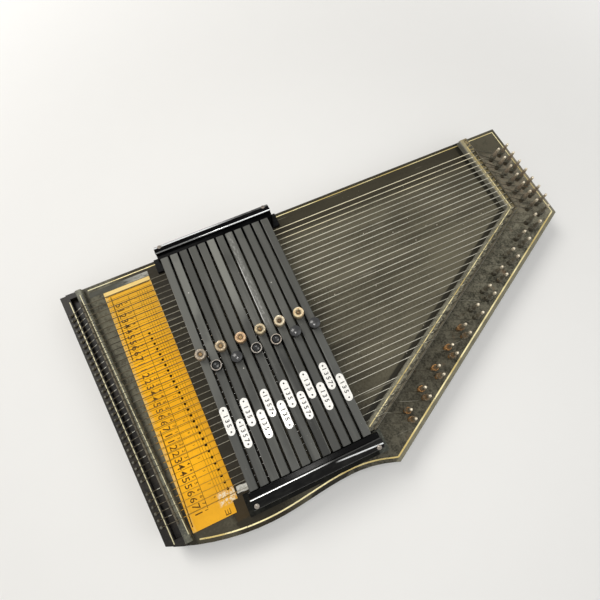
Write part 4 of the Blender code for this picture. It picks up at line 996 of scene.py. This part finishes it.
def buttonProfile(kind):
    look = buttonLook
    radius, cap = look["radius"], look["cap"]
    if kind == "dome":
        upper = look["shoulder"][:1] + [(share, sqrt(cap ** 2 - (radius * share) ** 2) - cap)
                                        for share in look["domeShares"]]
    else:
        upper = look["shoulder"] + look["tops"][kind]
    return [(radius * share, look["base"] + up) for share, up in look["foot"]] + [
        (radius * share, look["base"] + look["height"] + up) for share, up in upper]


def carved(mesh, cutterMesh, edgeRound=0.0):  # the mesh, its sharp edges rounded, less the cutter
    solid, cutter = (stand("carved", item) for item in (mesh, cutterMesh))
    for item in (solid, cutter):
        faceOut(item.data)
    if edgeRound:
        edges = solid.modifiers.new("edges", "BEVEL")
        edges.width, edges.segments = edgeRound, 3
        edges.limit_method, edges.angle_limit = "ANGLE", radians(50)
    cut = solid.modifiers.new("cut", "BOOLEAN")
    cut.operation, cut.solver, cut.object = "DIFFERENCE", "EXACT", cutter
    result = bpy.data.meshes.new_from_object(solid.evaluated_get(bpy.context.evaluated_depsgraph_get()))
    for item in (solid, cutter):
        bpy.data.objects.remove(item)
    return result


def screwMesh(radius, height, slotTurn, x=0.0, y=0.0, z=0.0):  # a domed head with a slot across it
    head = [(radius * share, height * up) for share, up in ((1, -0.4), (1, 0.25), (0.86, 0.62), (0.6, 0.88), (0.25, 1))]
    slot = bmesh.new()
    bmesh.ops.create_cube(slot, size=1.0, matrix=Matrix.Rotation(slotTurn, 4, "Z") @ Matrix.LocRotScale(
        (0.0, 0.0, height * 0.95), None, (radius * 3, radius * 0.22, height * 0.8)))
    result = carved(turnedMesh("screw", head, 20), shapeMesh("slotCutter", slot))
    result.transform(Matrix.Translation((x, y, z)))
    return result


def makeButtons():
    top = buttonLook["base"] + buttonLook["height"]
    for index, ring in enumerate(buttonLook["rings"]):
        number = index + 1
        body = "bar_%02d" % number
        kind = "pale" if index % 2 == 0 else "cup" if ring else "dome"
        core = tuple(c * 0.45 for c in ring) if kind == "pale" else (0.008, 0.008, 0.008)
        finishes["button%d" % index] = turnedPaint(kind, index, ring or core, core)
        x, y = buttonPlace(index)
        button = place("push_button_%02d" % number, turnedMesh("button", buttonProfile(kind), 48, x, y), body,
                       "dark_button" if index % 2 else "pale_button", "button%d" % index, 50)
        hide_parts("button_%02d" % number)
        if kind == "pale":
            place("button_screw_%02d" % number, screwMesh(0.002, 0.0011, 0.5 + index, x, y, top - 0.002), body,
                  "pale_button", "brass", 35)


makeButtons()
print("buttons done")

# bar holders: screws, springs

holderLook = {
    "screws": [(-0.0387, 0.1415), (-0.1535, 0.1415), (-0.1556, -0.1225), (-0.038, -0.1232)],
    "screwRadius": 0.0023, "screwHeight": 0.0012, "left": -0.1595, "right": -0.033, "wall": 0.0016,
    # depth outwards from the comb's face, height and rounding of each corner of a cover
    "outside": [(0.0, 0.0403, 0.0), (0.0, 0.0648, 0.0007), (0.0053, 0.0648, 0.0006), (0.0053, 0.0701, 0.0014),
                (0.015, 0.0668, 0.003), (0.0157, 0.0403, 0.0)],
    "inside": [(-0.002, 0.036), (-0.002, 0.0632), (0.0068, 0.0632), (0.0068, 0.0682), (0.0122, 0.0664),
               (0.0139, 0.064), (0.014, 0.036)],
    "faces": {"bass": (bars["bassFace"], 1), "treble": (bars["trebleFace"], -1)},
}
springLook = {"turns": 6.5, "radius": 0.002, "wire": 0.00028, "bottom": 0.0424, "top": 0.0564, "along": 0.0058}


def roundedOutline(corners, steps=6):  # swaps each corner that has a radius for an arc
    points = []
    for index, (a, b, radius) in enumerate(corners):
        here = Vector((a, b))
        if not radius:
            points.append(here)
            continue
        before, after = ((Vector(corners[other % len(corners)][:2]) - here).normalized()
                         for other in (index - 1, index + 1))
        half = before.angle(after) / 2
        centre = here + (before + after).normalized() * radius / sin(half)
        start, end = (here + side * radius / tan(half) - centre for side in (before, after))
        sweep = start.angle_signed(end)
        points += [centre + Matrix.Rotation(-sweep * step / steps, 2) @ start for step in range(steps + 1)]
    return points


def runAlongX(name, outline, left, right, face, outward):
    return ringMesh(name, [[(x, face + outward * a, b) for a, b in outline] for x in (left, right)])


def makeHolders():
    look = holderLook
    left, right, wall = look["left"], look["right"], look["wall"]
    for side, face in look["faces"].items():
        solid = runAlongX("cover", roundedOutline(look["outside"]), left, right, *face)
        hollow = runAlongX("hollow", look["inside"], left + wall, right - wall, *face)
        cover = place(side + "_cover", carved(solid, hollow, 0.0009), "zither_body", "holder_gloss", side + "Gloss", 32)
        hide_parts(side + "_holder_cover")
    (innerDepth, innerTop, _), (outerDepth, outerTop, _) = look["outside"][3:5]  # the sloping top of a cover
    drop = (innerTop - outerTop) / (outerDepth - innerDepth)
    for number, (x, y) in enumerate(look["screws"], start=1):
        depth = max(y - bars["bassFace"], bars["trebleFace"] - y)
        screw = screwMesh(look["screwRadius"], look["screwHeight"], 0.7 * number)
        tilt = atan2(innerTop - outerTop, outerDepth - innerDepth) * (-1 if y > 0 else 1)
        screw.transform(Matrix.Translation((x, y, innerTop - (depth - innerDepth) * drop))
                        @ Matrix.Rotation(tilt, 4, "X"))
        place("cover_screw_%d" % number, screw, "zither_body", "holder_gloss", "screw", 35)


def makeSprings():
    look = springLook
    height = look["top"] - look["bottom"]
    for index in range(bars["count"]):
        points = [(barX(index), y, look["bottom"])
                  for y in (bars["bassY"] + look["along"], bars["trebleY"] - look["along"])]
        spring = grow("springs_%02d" % (index + 1), coilTree, pointMesh("springs", points), "zither_body",
                      "string_steel", "spring", turns=look["turns"], radius=look["radius"], height=height,
                      wire=look["wire"], seed=5 + index)
        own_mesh(spring)


makeHolders()
makeSprings()
print("holders done")

# dust, paper scrap and a grey strip on the soundboard

scrapLook = {"corner": (-0.1712, -0.1082), "size": (0.011, 0.0062), "thick": 0.00012, "columns": 9, "rows": 6}
patchLook = {"points": [(-0.2425, 0.1352), (-0.178, 0.1352)], "width": 0.0058, "up": 0.00005}
dustLook = {
    "count": 70, "radius": 0.00045, "seed": 11, "lift": 0.0001, "crumb": 0.0007, "area": 0.0665,
    "outline": [(-0.17, 0.126), (0.212, 0.126), (0.216, 0.046), (-0.01, -0.084), (-0.17, -0.084)],
    "crumbs": [(0.126, 0.063), (0.138, 0.059), (0.107, 0.052), (0.072, 0.049), (0.041, 0.022), (-0.004, 0.031),
               (0.088, 0.071), (0.112, 0.03), (0.02, 0.068), (0.057, 0.083)],
}

dustTree = Growth("dust on a surface", radius="Float", density="Float", seed="Int")
given = dustTree.given
scattered = dustTree.add("DistributePointsOnFaces", {"Mesh": given["Geometry"], "Density": given["density"],
                                                     "Seed": given["seed"]}, distribute_method="RANDOM")
flake = dustTree.add("MeshIcoSphere", {"Radius": given["radius"], "Subdivisions": 1})
dustTree.end(dustTree.onPoints(scattered, flake, (0.5, 0.5, 6.28),
                               Scale=dustTree.random((0.35, 0.35, 0.2), (1.7, 1.0, 0.5))), smooth=False)


def scrapPoint(u, v, lift):  # a thin sheet, a little wavy, its far end curled up
    (x, y), (wide, deep) = scrapLook["corner"], scrapLook["size"]
    curl = 0.0007 * max(0.0, u - 0.6) ** 2 / 0.16 + 0.0002 * sin(9 * v + 5 * u)
    return x + wide * u + 0.0005 * v, y + deep * v + 0.0004 * sin(6 * u), boardTop + 0.00025 + lift + curl


def makeDust():
    look = dustLook
    home = "zither_body", "black_lacquer"
    field, crumbs = ([(x, y, boardTop + look["lift"]) for x, y in look[key]] for key in ("outline", "crumbs"))
    fieldMesh = pointMesh("dustField", field, faces=[range(len(field))])
    grow("dust_flakes", dustTree, fieldMesh, *home, "flake", radius=look["radius"],
         density=look["count"] / look["area"], seed=look["seed"])
    crumb, flat = bmesh.new(), Matrix.Diagonal((1.3, 0.7, 0.5, 1.0))
    bmesh.ops.create_icosphere(crumb, subdivisions=1, radius=look["crumb"], matrix=flat)
    copies("dust_crumbs", shapeMesh("crumb", crumb), crumbs, *home, "flake", 6.28, 4)
    patch = bmesh.new()
    addRibbon(patch, patchLook["points"], patchLook["width"], boardTop - patchLook["up"], boardTop + patchLook["up"])
    place("greyed_patch", shapeMesh("greyStrip", patch), *home, "patch")
    columns, rows = ([step / (scrapLook[key] - 1) for step in range(scrapLook[key])] for key in ("columns", "rows"))
    rings = [[scrapPoint(u, v, 0.0) for v in rows] + [scrapPoint(u, v, scrapLook["thick"]) for v in rows[::-1]]
             for u in columns]
    place("paper_scrap", ringMesh("paperScrap", rings), "zither_body", "chart_card", "paper", 60)


makeDust()
print("dust and scrap done")

# camera, lights, floor

cameraLook = {
    "place": (-0.10894, -0.08793, 0.47475), "lens": 26.09, "shift": (0.00636, 0.00222),
    "turn": ((0.91163, 0.38689, -0.13876), (-0.41083, 0.86805, -0.27875), (0.01261, 0.31113, 0.95028)),
}
lightLook = {
    "world": 0.46, "worldColour": (1.0, 0.985, 0.96, 1.0), "aim": (0.0, 0.0, 0.03),
    "floor": (0.84, 0.84, 0.83), "floorZ": -0.0002, "floorReach": 4.0, "whiteFrom": (0.35, 1.3),
    # name, place, size, power, colour
    "lamps": [("key", (-0.5, 0.7, 1.28), 0.6, 9.5, (1.0, 0.97, 0.92)),
              ("fill", (0.9, -0.6, 1.05), 1.2, 4.0, (0.94, 0.97, 1.0)),
              ("above", (-0.11, -0.08, 0.64), 0.12, 1.0, (1.0, 0.98, 0.95))],
}


def seenDirectly(sheet):  # 1 for rays from the camera, from glossy and through clear surfaces
    camera, glossy, clear = (sheet.add("LightPath", out="Is %s Ray" % kind)
                             for kind in ("Camera", "Glossy", "Transmission"))
    return camera.most(glossy).most(clear)


def makeCamera():
    data = bpy.data.cameras.new("camera")
    data.lens, data.sensor_width, data.clip_start = cameraLook["lens"], 36.0, 0.01
    data.shift_x, data.shift_y = cameraLook["shift"]
    camera = bpy.context.scene.camera = stand("camera", data)
    camera.matrix_world = Matrix.Translation(cameraLook["place"]) @ Matrix(cameraLook["turn"]).to_4x4()


def makeLight():
    for name, spot, size, power, colour in lightLook["lamps"]:
        lamp = bpy.data.lights.new(name, "AREA")
        lamp.size, lamp.energy, lamp.color = size, power, colour
        aim = (Vector(lightLook["aim"]) - Vector(spot)).to_track_quat("-Z", "Y").to_matrix().to_4x4()
        stand(name, lamp).matrix_world = Matrix.Translation(spot) @ aim
    world = bpy.data.worlds.new("studio")
    world.use_nodes = True
    world.node_tree.nodes.clear()
    sky = Sheet(world.node_tree)
    soft = sky.add("Background", {"Color": lightLook["worldColour"], "Strength": lightLook["world"]})
    white = sky.add("Background", {"Color": (1.0, 1.0, 1.0, 1.0), "Strength": 1.0})
    sky.add("OutputWorld", {"Surface": sky.add("MixShader", {0: seenDirectly(sky), 1: soft, 2: white})}, None)
    bpy.context.scene.world = world


def makeFloor():  # pale, and white far out where it is looked at directly
    reach, pale = lightLook["floorReach"], lightLook["floor"]
    corners = [(x * reach, y * reach, lightLook["floorZ"]) for x, y in ((-1, -1), (1, -1), (1, 1), (-1, 1))]
    mesh = pointMesh("floor", corners, faces=[range(4)])
    paint = Paint("pale floor")
    away = paint.add("VectorMath", {0: paint.place}, "Value", operation="LENGTH")
    glow = paint.blend((0.0, 0.0, 0.0), (0.6, 0.6, 0.6), seenDirectly(paint) * away.ramp(*lightLook["whiteFrom"]))
    colour = paint.blend(pale, tuple(c * 0.985 for c in pale), paint.noise(30.0))
    mesh.materials.append(paint.done(colour, 0.8, gloss=0.2, glow=glow, glowStrength=1.0))
    stand("floor", mesh)


makeCamera()
makeLight()
makeFloor()
bpy.context.scene.view_settings.view_transform = "Standard"
print("studio done")

bpy.context.view_layer.update()
